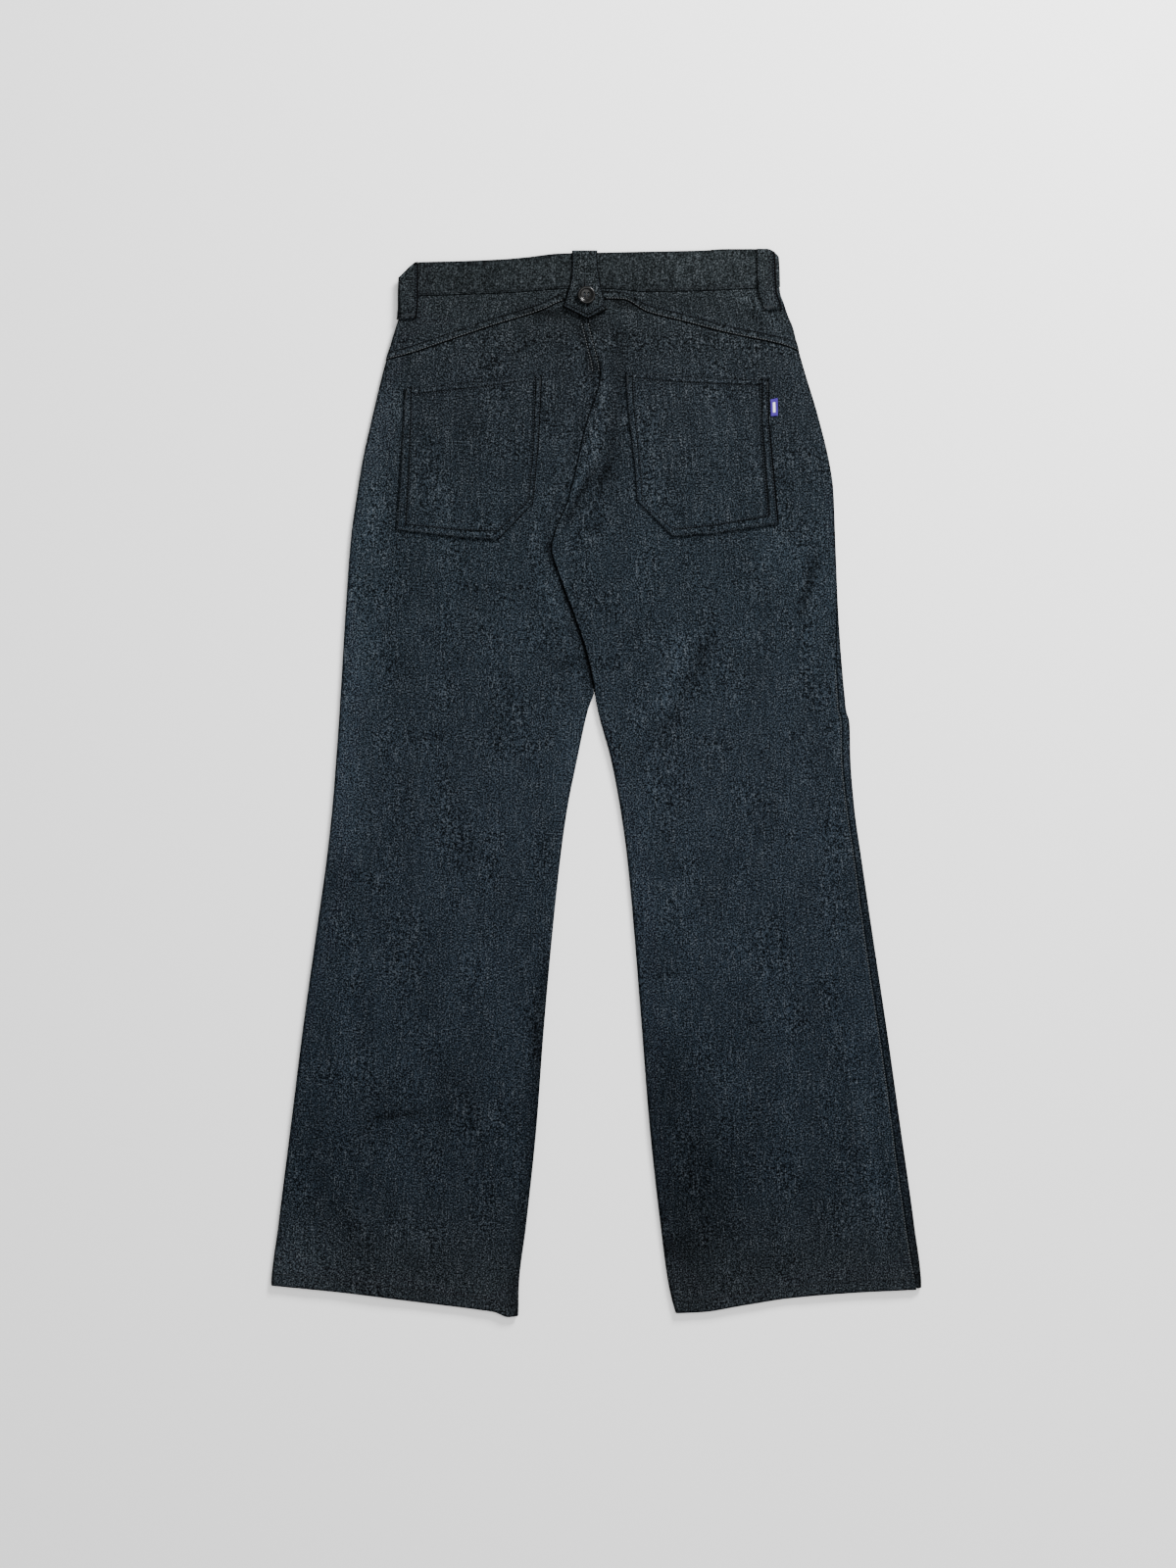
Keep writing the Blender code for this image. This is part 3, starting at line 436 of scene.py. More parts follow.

# The denim's colour along the garment's length, as a share of the way from hem to waist: its own colour, made
# lighter and darker along the length as painted light and shade.
DENIM_COLOUR_AND_LIGHT = (
    (0.0, (0.0102, 0.0128, 0.0150)), (0.05, (0.0084, 0.0110, 0.0137)), (0.12, (0.0066, 0.0098, 0.0136)),
    (0.28, (0.0075, 0.0112, 0.0158)), (0.50, (0.0086, 0.0124, 0.0170)), (0.70, (0.0079, 0.0117, 0.0156)),
    (0.88, (0.0077, 0.0103, 0.0130)), (0.97, (0.0080, 0.0101, 0.0113)), (1.0, (0.0081, 0.0101, 0.0110)),
)
# How far yarns of each kind lighten or darken the cloth.
SLUB_SHARE = 0.18
WEFT_SHARE = 0.08
SPECK_SHARE = 0.95
BAR_SHARE = 0.07
CLOUD_SHARE = 0.15
# The noises that draw the yarns: slubs, weft, specks and bars.
YARN_NOISES = (
    # stretch of the place, scale, detail, roughness
    ((1, 0.07, 1), 560, 2, 0.55), ((0.3, 1, 1), 820, 2, 0.5), ((1, 0.85, 1), 745, 1.5, 0.6),
    ((1, 0.1, 1), 150, 3, 0.6),
)
DARKEST_YARN = 0.1  # share of the cloth's lightness

LIGHTEST_YARN = 2.4
FLECK_FROM = 0.92  # sum of the noises from which a weft fleck shows
FLECK_TO = 1.14
TWILL_LEAN = 1.05  # lean of the twill line, in radians
TWILL_SCALE = 440  # 0.7 mm from rib to rib
# Where the label's bar ends, as shares of its width and length from its middle: from white to blue.
LABEL_BAR_ACROSS = (0.13, 0.18)
LABEL_BAR_ALONG = (0.27, 0.31)



def smooth(t):
    """0 to 1 with soft ends."""
    t = np.clip(t, 0.0, 1.0)
    return t * t * (3 - 2 * t)


def after(level, zone):
    """0 before a zone, 1 after it, with soft ends."""
    start, length = zone
    return smooth((level - start) / length)


def before(level, zone):
    return 1 - after(level, zone)


def line(rows, column=1):
    """A smooth line through a table's rows, which never swings past its points."""
    kept = [row for row in rows if row[column] is not None]
    at = np.array([row[0] for row in kept], float)
    value = np.array([row[column] for row in kept], float)
    step = np.diff(at)
    slope = np.diff(value) / step
    same_way = slope[:-1] * slope[1:] > 0
    joined = np.where(same_way, slope[:-1] + slope[1:], 1.0)
    inner = np.where(same_way, 2 * slope[:-1] * slope[1:] / joined, 0.0)
    bend = np.concatenate(([slope[0]], inner, [slope[-1]]))

    def read(x):
        x = np.clip(x, at[0], at[-1])
        k = np.clip(np.searchsorted(at, x, side="right") - 1, 0, len(step) - 1)
        t = (x - at[k]) / step[k]
        return (
            value[k] * (1 + 2 * t) * (1 - t) ** 2
            + step[k] * bend[k] * t * (1 - t) ** 2
            + value[k + 1] * t * t * (3 - 2 * t)
            + step[k] * bend[k + 1] * t * t * (t - 1)
        )

    return read


lap_x = line(SEAT_LAP, 1)
lap_under = line(SEAT_LAP, 2)
waist_top = line(WAIST_TOP)
waist_seam = line(WAIST_SEAM)
yoke_seam = line(YOKE_SEAM)
outseam_roll = line(OUTSEAM_ROLL)
centre_front = line(CENTRE_FRONT)
tab_left = line(TAB_SIDES, 1)
tab_right = line(TAB_SIDES, 2)
leg_line = {
    "left_outer": line(LEG_EDGES, 1),
    "left_inner": line(LEG_EDGES, 2),
    "right_inner": line(LEG_EDGES, 3),
    "right_outer": line(LEG_EDGES, 4),
}
INWARD = {"left_outer": 1, "left_inner": -1, "right_inner": 1, "right_outer": -1}
HEM = {"left": line(HEM_LEFT), "right": line(HEM_RIGHT)}


def front_dip(x):
    """How much lower the front waist hangs than the back."""
    return FRONT_DIP * np.maximum(0.0, 1 - (np.asarray(x) / 186) ** 2)


def front_waist(x):
    return waist_top(x) + front_dip(x)


def front_seam(x):
    return waist_seam(x) + front_dip(x)


def edge_x(edge, level):
    """x of the silhouette, which above the fork is the lap for the two inner edges."""
    if edge == "left_inner":
        return np.where(level < FORK, lap_x(level) + lap_under(level), leg_line[edge](level))
    if edge == "right_inner":
        return np.where(level < FORK, lap_x(level), leg_line[edge](level))
    return leg_line[edge](level)


def creased(table, x, level):
    """The sum of the creases at a place, each a soft bump round its bowed line that fades at both ends."""
    total = np.zeros(np.broadcast(x, level).shape)
    for from_x, from_level, to_x, to_level, bow, half_width, height in table:
        run_x, run_level = to_x - from_x, to_level - from_level
        length = math.hypot(run_x, run_level)
        along = ((x - from_x) * run_x + (level - from_level) * run_level) / length**2
        across = ((x - from_x) * run_level - (level - from_level) * run_x) / length
        held = np.clip(along, 0.0, 1.0)
        away = np.hypot(across - bow * 4 * held * (1 - held), (along - held) * length)
        fading = smooth(3 * held + 0.15) * smooth(3.15 - 3 * held)
        total += height * smooth(1 - away / half_width) * fading
    return total * cloth_sizes().crease_strength


def waves(table, x, level):
    """The sum of a table's waves at a place."""
    total = np.zeros(np.broadcast(x, level).shape)
    for along_x, along_level, start, height in table:
        total += height * np.sin(2 * math.pi * (x / along_x + level / along_level) + start)
    return total


def seam_pull(x, level, back):
    """1 on a seam or hem of a leg, 0 away from all of them."""
    side = np.minimum(x - leg_line["left_outer"](level), leg_line["right_outer"](level) - x)
    hem = np.where(x < 0, HEM["left"](x), HEM["right"](x)) - level
    upper = np.abs(level - (yoke_seam(x) if back else front_seam(x)))
    centre = np.abs(x - (lap_x(level) if back else centre_front(level)))
    centre = centre + OUT_OF_REACH * after(level, CENTRE_ZONE) * back
    inner = np.where(x < 0, leg_line["left_inner"](level) - x, x - leg_line["right_inner"](level))
    inner = inner + OUT_OF_REACH * before(level, (FORK, 20))
    return smooth(1 - np.minimum.reduce([side, hem, upper, centre, inner]) / PUCKER_REACH)


def front_cloth(x, level):
    """Height of the lower side: on the ground, but for the waist that its loops and button hold up."""
    calm = after(level, CALM_ZONE) * before(level, HEM_CALM_ZONE)
    ripples = (GROUND_CLEAR + waves(SWELLS, x + FRONT_SWELL_SHIFT, level - 81)) * calm
    ripples = ripples + 0.6 * waves(PUCKERS, x, level) * seam_pull(x, level, 0)
    return front_lift(level) + creased(FRONT_CREASES, x, level) + np.maximum(0.0, ripples)


def front_lift(level):
    """How far the waist's loops and button hold the front up."""
    return FRONT_LIFT * before(level, GROUND_ZONE)


def back_cloth(x, level, half="right"):
    """Height of the upper side. The left half goes down where the right one laps over it."""
    height = BODY_HEIGHT + (WAIST_HEIGHT - BODY_HEIGHT) * before(level, BODY_ZONE)
    height = height + creased(BACK_CREASES, x, level) + waves(SWELLS, x, level) * after(level, CALM_ZONE)
    height = height + waves(PUCKERS, x, level) * seam_pull(x, level, 1)
    if half == "left":
        off = lap_x(level) - x
        height = height + SEAT_FELL_LIFT * smooth((SEAT_FELL - off) / 2.0) * before(level, SEAT_FELL_ZONE)
        lowered = after(level, LAP_ZONE) * before(level, LAP_END_ZONE)
        height = height + (UNDER_HEIGHT - height) * lowered * smooth((LAP_SLOPE + 1 - off) / LAP_SLOPE)
    return height


def turn_length(level):
    """Length of cloth from the silhouette to where a side fold is flat."""
    rise = (BODY_HEIGHT - front_lift(level)) / 2
    return math.pi / 2 * np.sqrt((EDGE_REACH**2 + rise**2) / 2)


def at_edge(edge, along, level, out=0.0, half="right"):
    """x and height a length of cloth in from the silhouette: up on the back, minus on the front."""
    turn, inward, off = turn_length(level), INWARD[edge], np.abs(along)
    angle = np.minimum(1.0, off / turn) * math.pi / 2
    upright = EDGE_UPRIGHT / turn
    leaning = np.maximum(0.0, angle - upright * math.pi / 2) / (1 - upright)
    x = edge_x(edge, level) + inward * (EDGE_REACH * (1 - np.cos(leaning)) + np.maximum(0.0, off - turn))
    high, low = back_cloth(x, level, half), front_cloth(x, level)
    rise = (high - low) / 2
    across, upward = -inward * np.cos(leaning) / EDGE_REACH, np.sin(leaning) / rise
    length = np.hypot(across, upward)
    out = np.where(np.asarray(out) < -1, out * (1 - TIGHT_TURN + TIGHT_TURN * np.sin(angle)), out)
    up = np.where(np.asarray(along) < 0, -1.0, 1.0)
    return x + across / length * out, (high + low) / 2 + up * (rise * np.sin(angle) + upward / length * out)


def world(x, level, height):
    """World metres from pattern millimetres."""
    return Vector((float(x) / 1000, (HALF_LENGTH - float(level)) / 1000, float(height) / 1000))


def outseam(half, level):
    """How far onto the back the outseam lies."""
    return outseam_roll(level) if half == "right" else 0.0 * level


def closing(x, height, closed, share):
    """A place part of the way to one on the closed inner edge of a leg."""
    return x + (closed[0] - x) * share, height + (closed[1] - height) * share


def back_inner(half, part, level, out):
    """The inner edge of a back panel. part goes from 0 at the edge to 1 where the panel is flat."""
    edge, turn = f"{half}_inner", turn_length(level)
    closed = at_edge(edge, EDGE_GAP / 2 + part * (turn - EDGE_GAP / 2), level, out, half)
    height = back_cloth(edge_x(edge, level), level, half)
    if half == "left":
        x = edge_x(edge, level) - part * turn
        return closing(x, back_cloth(x, level, half) + out, closed, after(level, LEFT_FORK_ZONE))
    lapped, quarter = after(level, LAP_EDGE_ZONE), part * math.pi / 2
    x = edge_x(edge, level) + part * turn * (1 - lapped) + LAP_REACH * (1 - np.cos(quarter)) * lapped
    height = back_cloth(x, level, half) + out - LAP_DROP * (1 - np.sin(quarter)) * lapped
    return closing(x, height, closed, after(level, RIGHT_FORK_ZONE))


def front_inner(half, part, level, out):
    """The inner edge of a front panel: flat at the centre front seam, turned up below the fork."""
    edge, turn = f"{half}_inner", turn_length(level)
    closed = at_edge(edge, -EDGE_GAP / 2 - part * (turn - EDGE_GAP / 2), level, out, half)
    x = centre_front(level) + INWARD[edge] * (SEAM_GAP / 2 + part * turn)
    return closing(x, front_cloth(x, level) - out, closed, after(level, FRONT_FORK_ZONE))


def leg_station(half, back, zones, level, out):
    """x and height of a leg panel's knots, from its outseam over the flat middle to its inner edge."""
    outer_part, share, inner_part = zones
    first, last = len(outer_part), len(outer_part) + len(share)
    edge, inner = f"{half}_outer", back_inner if back else front_inner

    def outer_run(level):
        turn = turn_length(level)
        if back:
            start = outseam(half, level) + EDGE_GAP / 2
            return start, np.maximum(turn, start + SEAM_REACH)
        return outseam(half, level) - EDGE_GAP / 2, -turn

    start, end = outer_run(level[:, :first])
    outer = at_edge(edge, start + outer_part * (end - start), level[:, :first], out[:, :first], half)
    flat_level, flat_out = level[:, first:last], out[:, first:last]
    from_x = at_edge(edge, outer_run(flat_level)[1], flat_level, 0.0, half)[0]
    to_x = inner(half, 1.0, flat_level, 0.0)[0]
    x = from_x + (to_x - from_x) * share
    height = back_cloth(x, flat_level, half) + flat_out if back else front_cloth(x, flat_level) - flat_out
    ends = inner(half, inner_part, level[:, last:], out[:, last:])
    height = np.hstack((outer[1], height, ends[1]))
    return np.hstack((outer[0], x, ends[0])), height if back else np.maximum(0.0, height)


def stops(length, near_start, near_end, spacing):
    """Places along a length: given distances from both ends, and an even spacing between them."""
    start, end = near_start[-1], length - near_end[-1]
    steps = max(1, round((end - start) / spacing))
    between = [start + (end - start) * k / steps for k in range(1, steps)]
    return np.array([*near_start, *between, *(length - d for d in reversed(near_end))])


def stitched_lift(distance, rows, felled, lift, depth):
    """Height that a felled and topstitched seam adds at a distance from its edge."""
    height = lift * smooth((felled - distance) / 2.0)
    for row in rows:
        height = height - depth * smooth(1 - np.abs(distance - row) / 1.1)
    return height


def cloth_sizes():
    return bpy.context.scene.jeans_cloth


def finishes():
    return bpy.context.scene.jeans_finishes


def table_at(table, level):
    """A table's value at a level, straight between its stops."""
    return np.interp(level, *np.array(table).T)


def painted_shade_at(x, level):
    """Painted light and shade: how much lighter or darker than its part of the garment the cloth is painted
    at a place.
    """
    tone = np.ones(np.shape(x))
    for at_x, at_level, reach_x, reach_level, change in PAINTED_SHADE_PATCHES:
        tone += change * smooth(1 - np.hypot((x - at_x) / reach_x, (level - at_level) / reach_level))
    for edge, from_level, to_level, reach, change in PAINTED_SHADE_EDGES:
        inside = (x - edge_x(edge, level)) * INWARD[edge]
        held = smooth((level - from_level) / EDGE_SHADE_ENDS) * smooth((to_level - level) / EDGE_SHADE_ENDS)
        tone += change * smooth(1 - inside / reach) * held * (inside > -EDGE_REACH)
    tone += creased(PAINTED_SHADE_LINES, x, level) + CREASE_SHADE * creased(BACK_CREASES, x, level)
    off = x - lap_x(level)
    hollow = smooth(1 - np.abs(off + LAP_SHADE_OFF) / LAP_SHADE_HALF)
    tone -= LAP_SHADE * hollow * after(level, LAP_SHADE_ZONE) * before(level, LAP_SHADE_END_ZONE)
    shadow = table_at(LAP_SHADOW, level) * smooth(1.7 - np.abs(off + LAP_SHADOW_OFF) / LAP_SHADOW_REACH)
    return np.maximum(DARKEST_SHADE, tone * (1 - shadow))


def rim_dark(inside, shade):
    """Share of its lightness that cloth keeps under painted shade, a distance in from where it turns under.
    """
    return 1 - shade * smooth(1.5 - inside / SILHOUETTE_REACH)


def at_silhouette(x, level):
    """The same at the outline of the legs and the yoke."""
    kept = np.ones(np.shape(x))
    for edge, first_level, shade in SILHOUETTE_SHADE:
        inside = (x - edge_x(edge, level)) * INWARD[edge]
        shade = shade * (inside > -EDGE_REACH) * after(level, (first_level, 20))
        kept = kept * rim_dark(inside, shade)
    return kept


def sewn_dark(distance, rows, edge=0.0, first=1.0, lit=0.0):
    """Share of its lightness that cloth keeps under painted shade in the grooves of stitch rows and along a
    seamed edge, with painted light between two rows.

    first is the first row's part of the full shade. lit is how far the edge faces the key light, which would
    otherwise wash its lines out.
    """
    kept = 1 - edge * smooth(1.5 - distance / EDGE_LINE)
    if len(rows) == 2:
        middle, half = (rows[0] + rows[1]) / 2, (rows[1] - rows[0]) / 2
        kept = kept * (1 + FELL_LIGHT * smooth(1.6 - np.abs(distance - middle) / (half - 0.8)))
    for row in rows:
        deep = (GROOVE_SHADE + LIT_SHADE * lit) * (first if row == rows[0] else 1.0)
        off = np.abs(distance - row + GROOVE_OFF) / (GROOVE_REACH + LIT_REACH * lit)
        kept = kept * (1 - deep * smooth(1.8 - off))
    return kept


def cloth_grid(name, x, level, height, material, wall, faces_down=False, up=True, kept=1.0):
    """A sheet of cloth from its outer surface's knots, rows first, with a wall behind it and soft rims."""
    rows, columns = x.shape
    # Painted light and shade at each knot, kept on the mesh for the finish to darken or lighten the cloth
    # with.
    tone = (painted_shade_at(x, level) if up else 1.0) * kept * at_silhouette(x, level)
    bm = bmesh.new()
    bm.loops.layers.uv.new("cut")
    bmesh.ops.create_grid(bm, x_segments=columns - 1, y_segments=rows - 1, size=0.5, calc_uvs=True)
    if faces_down:
        bmesh.ops.reverse_faces(bm, faces=bm.faces)
    shade = bm.verts.layers.float.new("tone")
    for vert in bm.verts:
        column = round((vert.co.x + 0.5) * (columns - 1))
        row = round((0.5 - vert.co.y) * (rows - 1))
        vert.co = world(x[row, column], level[row, column], height[row, column])
        vert[shade] = tone[row, column]
    piece = finish(name, bm, material)
    wall_behind = piece.modifiers.new("wall", "SOLIDIFY")
    wall_behind.thickness = wall / 1000
    wall_behind.offset = -1
    rim = piece.modifiers.new("rim", "BEVEL")
    rim.width = min(0.45, 0.3 * wall) / 1000
    rim.segments = 2
    rim.limit_method = "ANGLE"
    rim.angle_limit = math.radians(60)
    rim.use_clamp_overlap = False
    return piece


def finish(name, bm, material):
    """Makes the mesh an object, smooth but for its sharp edges."""
    mesh = bpy.data.meshes.new(name)
    bm.to_mesh(mesh)
    bm.free()
    piece = bpy.data.objects.new(name, mesh)
    bpy.context.scene.collection.objects.link(piece)
    mesh.materials.append(material)
    mesh.shade_smooth()
    mesh.set_sharp_from_angle(angle=math.radians(50))
    return piece


def arithmetic(operation, reflected=False):
    """An operator of Wire, which adds a Math node. Reflected, it takes the wire second."""

    def apply(self, other):
        first, second = (other, self) if reflected else (self, other)
        return self.finish.node("ShaderNodeMath", {"operation": operation}, {0: first, 1: second})

    return apply


class Wire:
    """A value in a finish. Arithmetic on it adds the Math nodes."""

    def __init__(self, finish, socket):
        self.finish = finish
        self.socket = socket

    __add__, __radd__ = arithmetic("ADD"), arithmetic("ADD", True)
    __sub__, __rsub__ = arithmetic("SUBTRACT"), arithmetic("SUBTRACT", True)
    __mul__, __rmul__ = arithmetic("MULTIPLY"), arithmetic("MULTIPLY", True)


class Finish:
    """A material in the making."""

    def __init__(self, name):
        self.made = bpy.data.materials.new(name)
        self.made.use_nodes = True
        self.shader = self.made.node_tree.nodes["Principled BSDF"]

    def feed(self, socket, value):
        """Links a value to a socket, or sets it there."""
        if isinstance(value, Wire):
            self.made.node_tree.links.new(value.socket, socket)
        elif isinstance(value, (tuple, list)) and len(value) == 3 and socket.type == "RGBA":
            socket.default_value = (*value, 1)
        else:
            socket.default_value = value

    def node(self, kind, settings, sockets, result=0):
        """Adds a node: its settings first, a ramp's stops among them, then its sockets' values or links."""
        added = self.made.node_tree.nodes.new(kind)
        for setting, value in settings.items():
            if setting != "stops":
                setattr(added, setting, value)
                continue
            for k, (position, colour) in enumerate(value):
                stop = added.color_ramp.elements[k] if k < 2 else added.color_ramp.elements.new(position)
                stop.position = position
                stop.color = (*colour, 1)
        for socket, value in sockets.items():
            self.feed(added.inputs[socket], value)
        return Wire(self, added.outputs[result])

    def place(self, scale=(1, 1, 1), turn=0.0):
        """Object coordinates in metres, turned about the vertical and then stretched."""
        here = self.node("ShaderNodeTexCoord", {}, {}, "Object")
        turned = self.node("ShaderNodeMapping", {}, {"Vector": here, "Rotation": (0, 0, turn)})
        return self.node("ShaderNodeMapping", {}, {"Vector": turned, "Scale": scale})

    def noise(self, where, scale, detail=2.0, roughness=0.5):
        sockets = {"Vector": where, "Scale": scale, "Detail": detail, "Roughness": roughness}
        return self.node("ShaderNodeTexNoise", {}, sockets, "Fac")

    def between(self, value, low, high, out_low=0.0, out_high=1.0):
        """A value's place between two limits, held to the two it is given out at."""
        sockets = {"Value": value, "From Min": low, "From Max": high, "To Min": out_low, "To Max": out_high}
        return self.node("ShaderNodeMapRange", {"clamp": True}, sockets)

    def swing(self, value, low=0.3, high=0.7):
        """A noise stretched to run from minus one to one."""
        return self.between(value, low, high, -1, 1)

    def bands(self, axis, where, scale, distortion, detail=2.0):
        sockets = {"Vector": where, "Scale": scale, "Distortion": distortion, "Detail": detail}
        return self.node("ShaderNodeTexWave", {"bands_direction": axis}, sockets, 1)

    def blend(self, share, first, second):
        return self.node("ShaderNodeMix", {"data_type": "RGBA"}, {0: share, 6: first, 7: second}, 2)

    def scaled(self, colour, value):
        return self.node("ShaderNodeVectorMath", {"operation": "SCALE"}, {0: colour, "Scale": value})

    def relief(self, height, strength, distance):
        sockets = {"Height": height, "Strength": strength, "Distance": distance}
        return self.node("ShaderNodeBump", {}, sockets, "Normal")

    def done(self, sockets):
        for socket, value in sockets.items():
            self.feed(self.shader.inputs[socket], value)
        return self.made


def denim(name, turn=0.0, lightness=1.0, contrast=1.0):
    """Raw denim: dark warp with the pale weft showing through as flecks, and slubs along the grain."""
    cloth, colours = Finish(name), finishes()
    height = cloth.node("ShaderNodeSeparateXYZ", {}, {"Vector": cloth.place()}, "Y")
    half = HALF_LENGTH / 1000
    share_up = (height + half) * (0.5 / half)
    ground = cloth.node("ShaderNodeValToRGB", {"stops": DENIM_COLOUR_AND_LIGHT}, {"Fac": share_up}, "Color")
    # Painted light and shade from the knots, which darkens or lightens the cloth and its flecks.
    tone = cloth.node("ShaderNodeAttribute", {"attribute_name": "tone"}, {}, "Fac")
    slub, weft, speck, bar = (
        cloth.noise(cloth.place(stretch, turn), *kind) for stretch, *kind in YARN_NOISES)
    cloud = cloth.noise(cloth.place((1, 0.4, 1)), 28, 4, 0.6)
    yarn = cloth.swing(slub) * SLUB_SHARE + cloth.swing(weft) * WEFT_SHARE
    yarn = yarn + cloth.swing(speck, 0.4, 0.6) * (SPECK_SHARE * contrast)
    yarn = yarn + cloth.swing(bar) * BAR_SHARE
    patchy = 1 + cloth.swing(cloud) * CLOUD_SHARE
    yarn = cloth.between(1 + yarn, DARKEST_YARN, LIGHTEST_YARN, DARKEST_YARN, LIGHTEST_YARN)
    dark = cloth.scaled(ground, yarn * patchy * tone * lightness)
    fleck = cloth.between(speck + slub * 0.45 + weft * 0.25, FLECK_FROM, FLECK_TO)
    colour = cloth.blend(fleck * tone * (colours.fleck_share * contrast), dark, tuple(colours.fleck))
    twill = cloth.bands("X", cloth.place((1, 1, 1), turn + TWILL_LEAN), TWILL_SCALE, 0.6, 1.0)
    return cloth.done({
        "Normal": cloth.relief(speck * 0.9 + slub * 0.6 + twill * 0.35, 0.5, 0.0004), "Base Color": colour,
        "Roughness": cloth.between(speck, 0.3, 0.7, 0.82, 0.95), "Specular IOR Level": 0.03})


def thread(kind):
    """Twisted sewing thread with a slight lustre, in one of three copies: its own dark colour, or lighter
    with painted highlight.
    """
    yarn = Finish(f"thread_{kind}")
    ply = yarn.noise(yarn.place(), 1400, 2, 0.6)
    shade = yarn.scaled(tuple(getattr(finishes(), f"thread_{kind}")), yarn.between(ply, 0.3, 0.7, 0.6, 1.5))
    return yarn.done({
        "Base Color": shade, "Roughness": yarn.between(ply, 0.3, 0.7, 0.45, 0.65),
        "Normal": yarn.relief(ply, 0.5, 0.0002), "Specular IOR Level": 0.1})


def horn_finish():
    """Polished dark horn with a faint streaky grain."""
    horn, colours = Finish("horn_polished"), finishes()
    streak = horn.noise(horn.place((1, 0.25, 1), 0.6), 520, 4, 0.6)
    cloud = horn.noise(horn.place(), 210, 2, 0.5)
    pale = horn.between(streak + cloud * 0.5, 0.68, 0.98)
    scratch = horn.noise(horn.place((0.2, 1, 1), 0.9), 2600, 2, 0.5)
    return horn.done({
        "Base Color": horn.blend(pale, tuple(colours.horn_dark), tuple(colours.horn_pale)),
        "Roughness": horn.between(scratch, 0.3, 0.7, 0.16, 0.3), "Normal": horn.relief(scratch, 0.08, 0.0001),
        "Specular IOR Level": 0.22})


def metal_finish():
    """Brushed antique metal."""
    metal, colours = Finish("button_metal_brushed"), finishes()
    brushed = metal.noise(metal.place((1, 0.04, 1), 0.4), 2400, 2, 0.6)
    spots = metal.noise(metal.place(), 380, 3, 0.6)
    shade = metal.scaled(tuple(colours.metal), metal.between(spots, 0.35, 0.7, 1.0, 0.55))
    return metal.done({
        "Base Color": shade, "Metallic": 1.0, "Roughness": metal.between(brushed, 0.3, 0.7, 0.28, 0.5),
        "Normal": metal.relief(brushed, 0.15, 0.0001)})


def label_finish():
    """Woven ribbon: a blue ground with a plain white bar down its middle."""
    ribbon, colours = Finish("label_woven"), finishes()
    cut = ribbon.node("ShaderNodeUVMap", {"uv_map": "cut"}, {})
    bar = 1.0
    for axis, (inside, outside) in (("X", LABEL_BAR_ACROSS), ("Y", LABEL_BAR_ALONG)):
        place = ribbon.node("ShaderNodeSeparateXYZ", {}, {"Vector": cut}, axis)
        off = ribbon.node("ShaderNodeMath", {"operation": "ABSOLUTE"}, {0: place - 0.5})
        bar = ribbon.between(off, inside, outside, 1, 0) * bar
    weave = ribbon.bands("Y", ribbon.place(), TWILL_SCALE * 1.4, 0.3)
    colour = ribbon.blend(bar, tuple(colours.label_ground), tuple(colours.label_bar))
    return ribbon.done({
        "Base Color": ribbon.scaled(colour, ribbon.between(weave, 0, 1, 0.8, 1.1)), "Roughness": 0.6,
        "Normal": ribbon.relief(weave, 0.3, 0.0002), "Specular IOR Level": 0.3})


def floor_finish():
    """A plain pale matt surface."""
    floor = Finish("pale_floor")
    mottle = floor.noise(floor.place(), 3, 2, 0.5)
    colour = tuple(bpy.context.scene.jeans_stage.floor_colour)
    shade = floor.scaled(colour, floor.between(mottle, 0, 1, 0.99, 1.01))
    return floor.done({"Base Color": shade, "Roughness": 0.9, "Specular IOR Level": 0.1})


def fitted(place, top, bottom):
    """Level of a row: it keeps its distance from the seam above and the hem below, and is level between."""
    upper_zone, lower_zone = SEAM_ZONE - PANEL_TOP, HEM_ZONE - PANEL_TOP
    hem_start = PANEL_LENGTH - HEM_BAND
    below_seam = (SEAM_ZONE - SEAM_BAND - top) / (upper_zone - SEAM_BAND)
    above_hem = (bottom - HEM_BAND - HEM_ZONE) / (hem_start - lower_zone)
    zones = (
        (0, SEAM_BAND, 1), (SEAM_BAND, upper_zone, below_seam), (upper_zone, lower_zone, 1),
        (lower_zone, hem_start, above_hem), (hem_start, PANEL_LENGTH, 1),
    )
    return top + sum(np.clip(place - start, 0, end - start) * stretch for start, end, stretch in zones)


def leg_zones(half, back):
    """Parts of a leg panel's three zones of columns, across from its outseam."""
    outer_columns = 20 if half == "right" and not back else 10
    flat_columns = LEG_COLUMNS if back else FRONT_COLUMNS
    share = np.linspace(0, 1, flat_columns + 2)[1:-1]
    share = np.concatenate((share[share < 0.96], (0.967, 0.975, 0.981, 0.9875, 0.994)))
    return np.linspace(0, 1, outer_columns) ** 1.15, share, np.linspace(1, 0, 9) ** 1.15


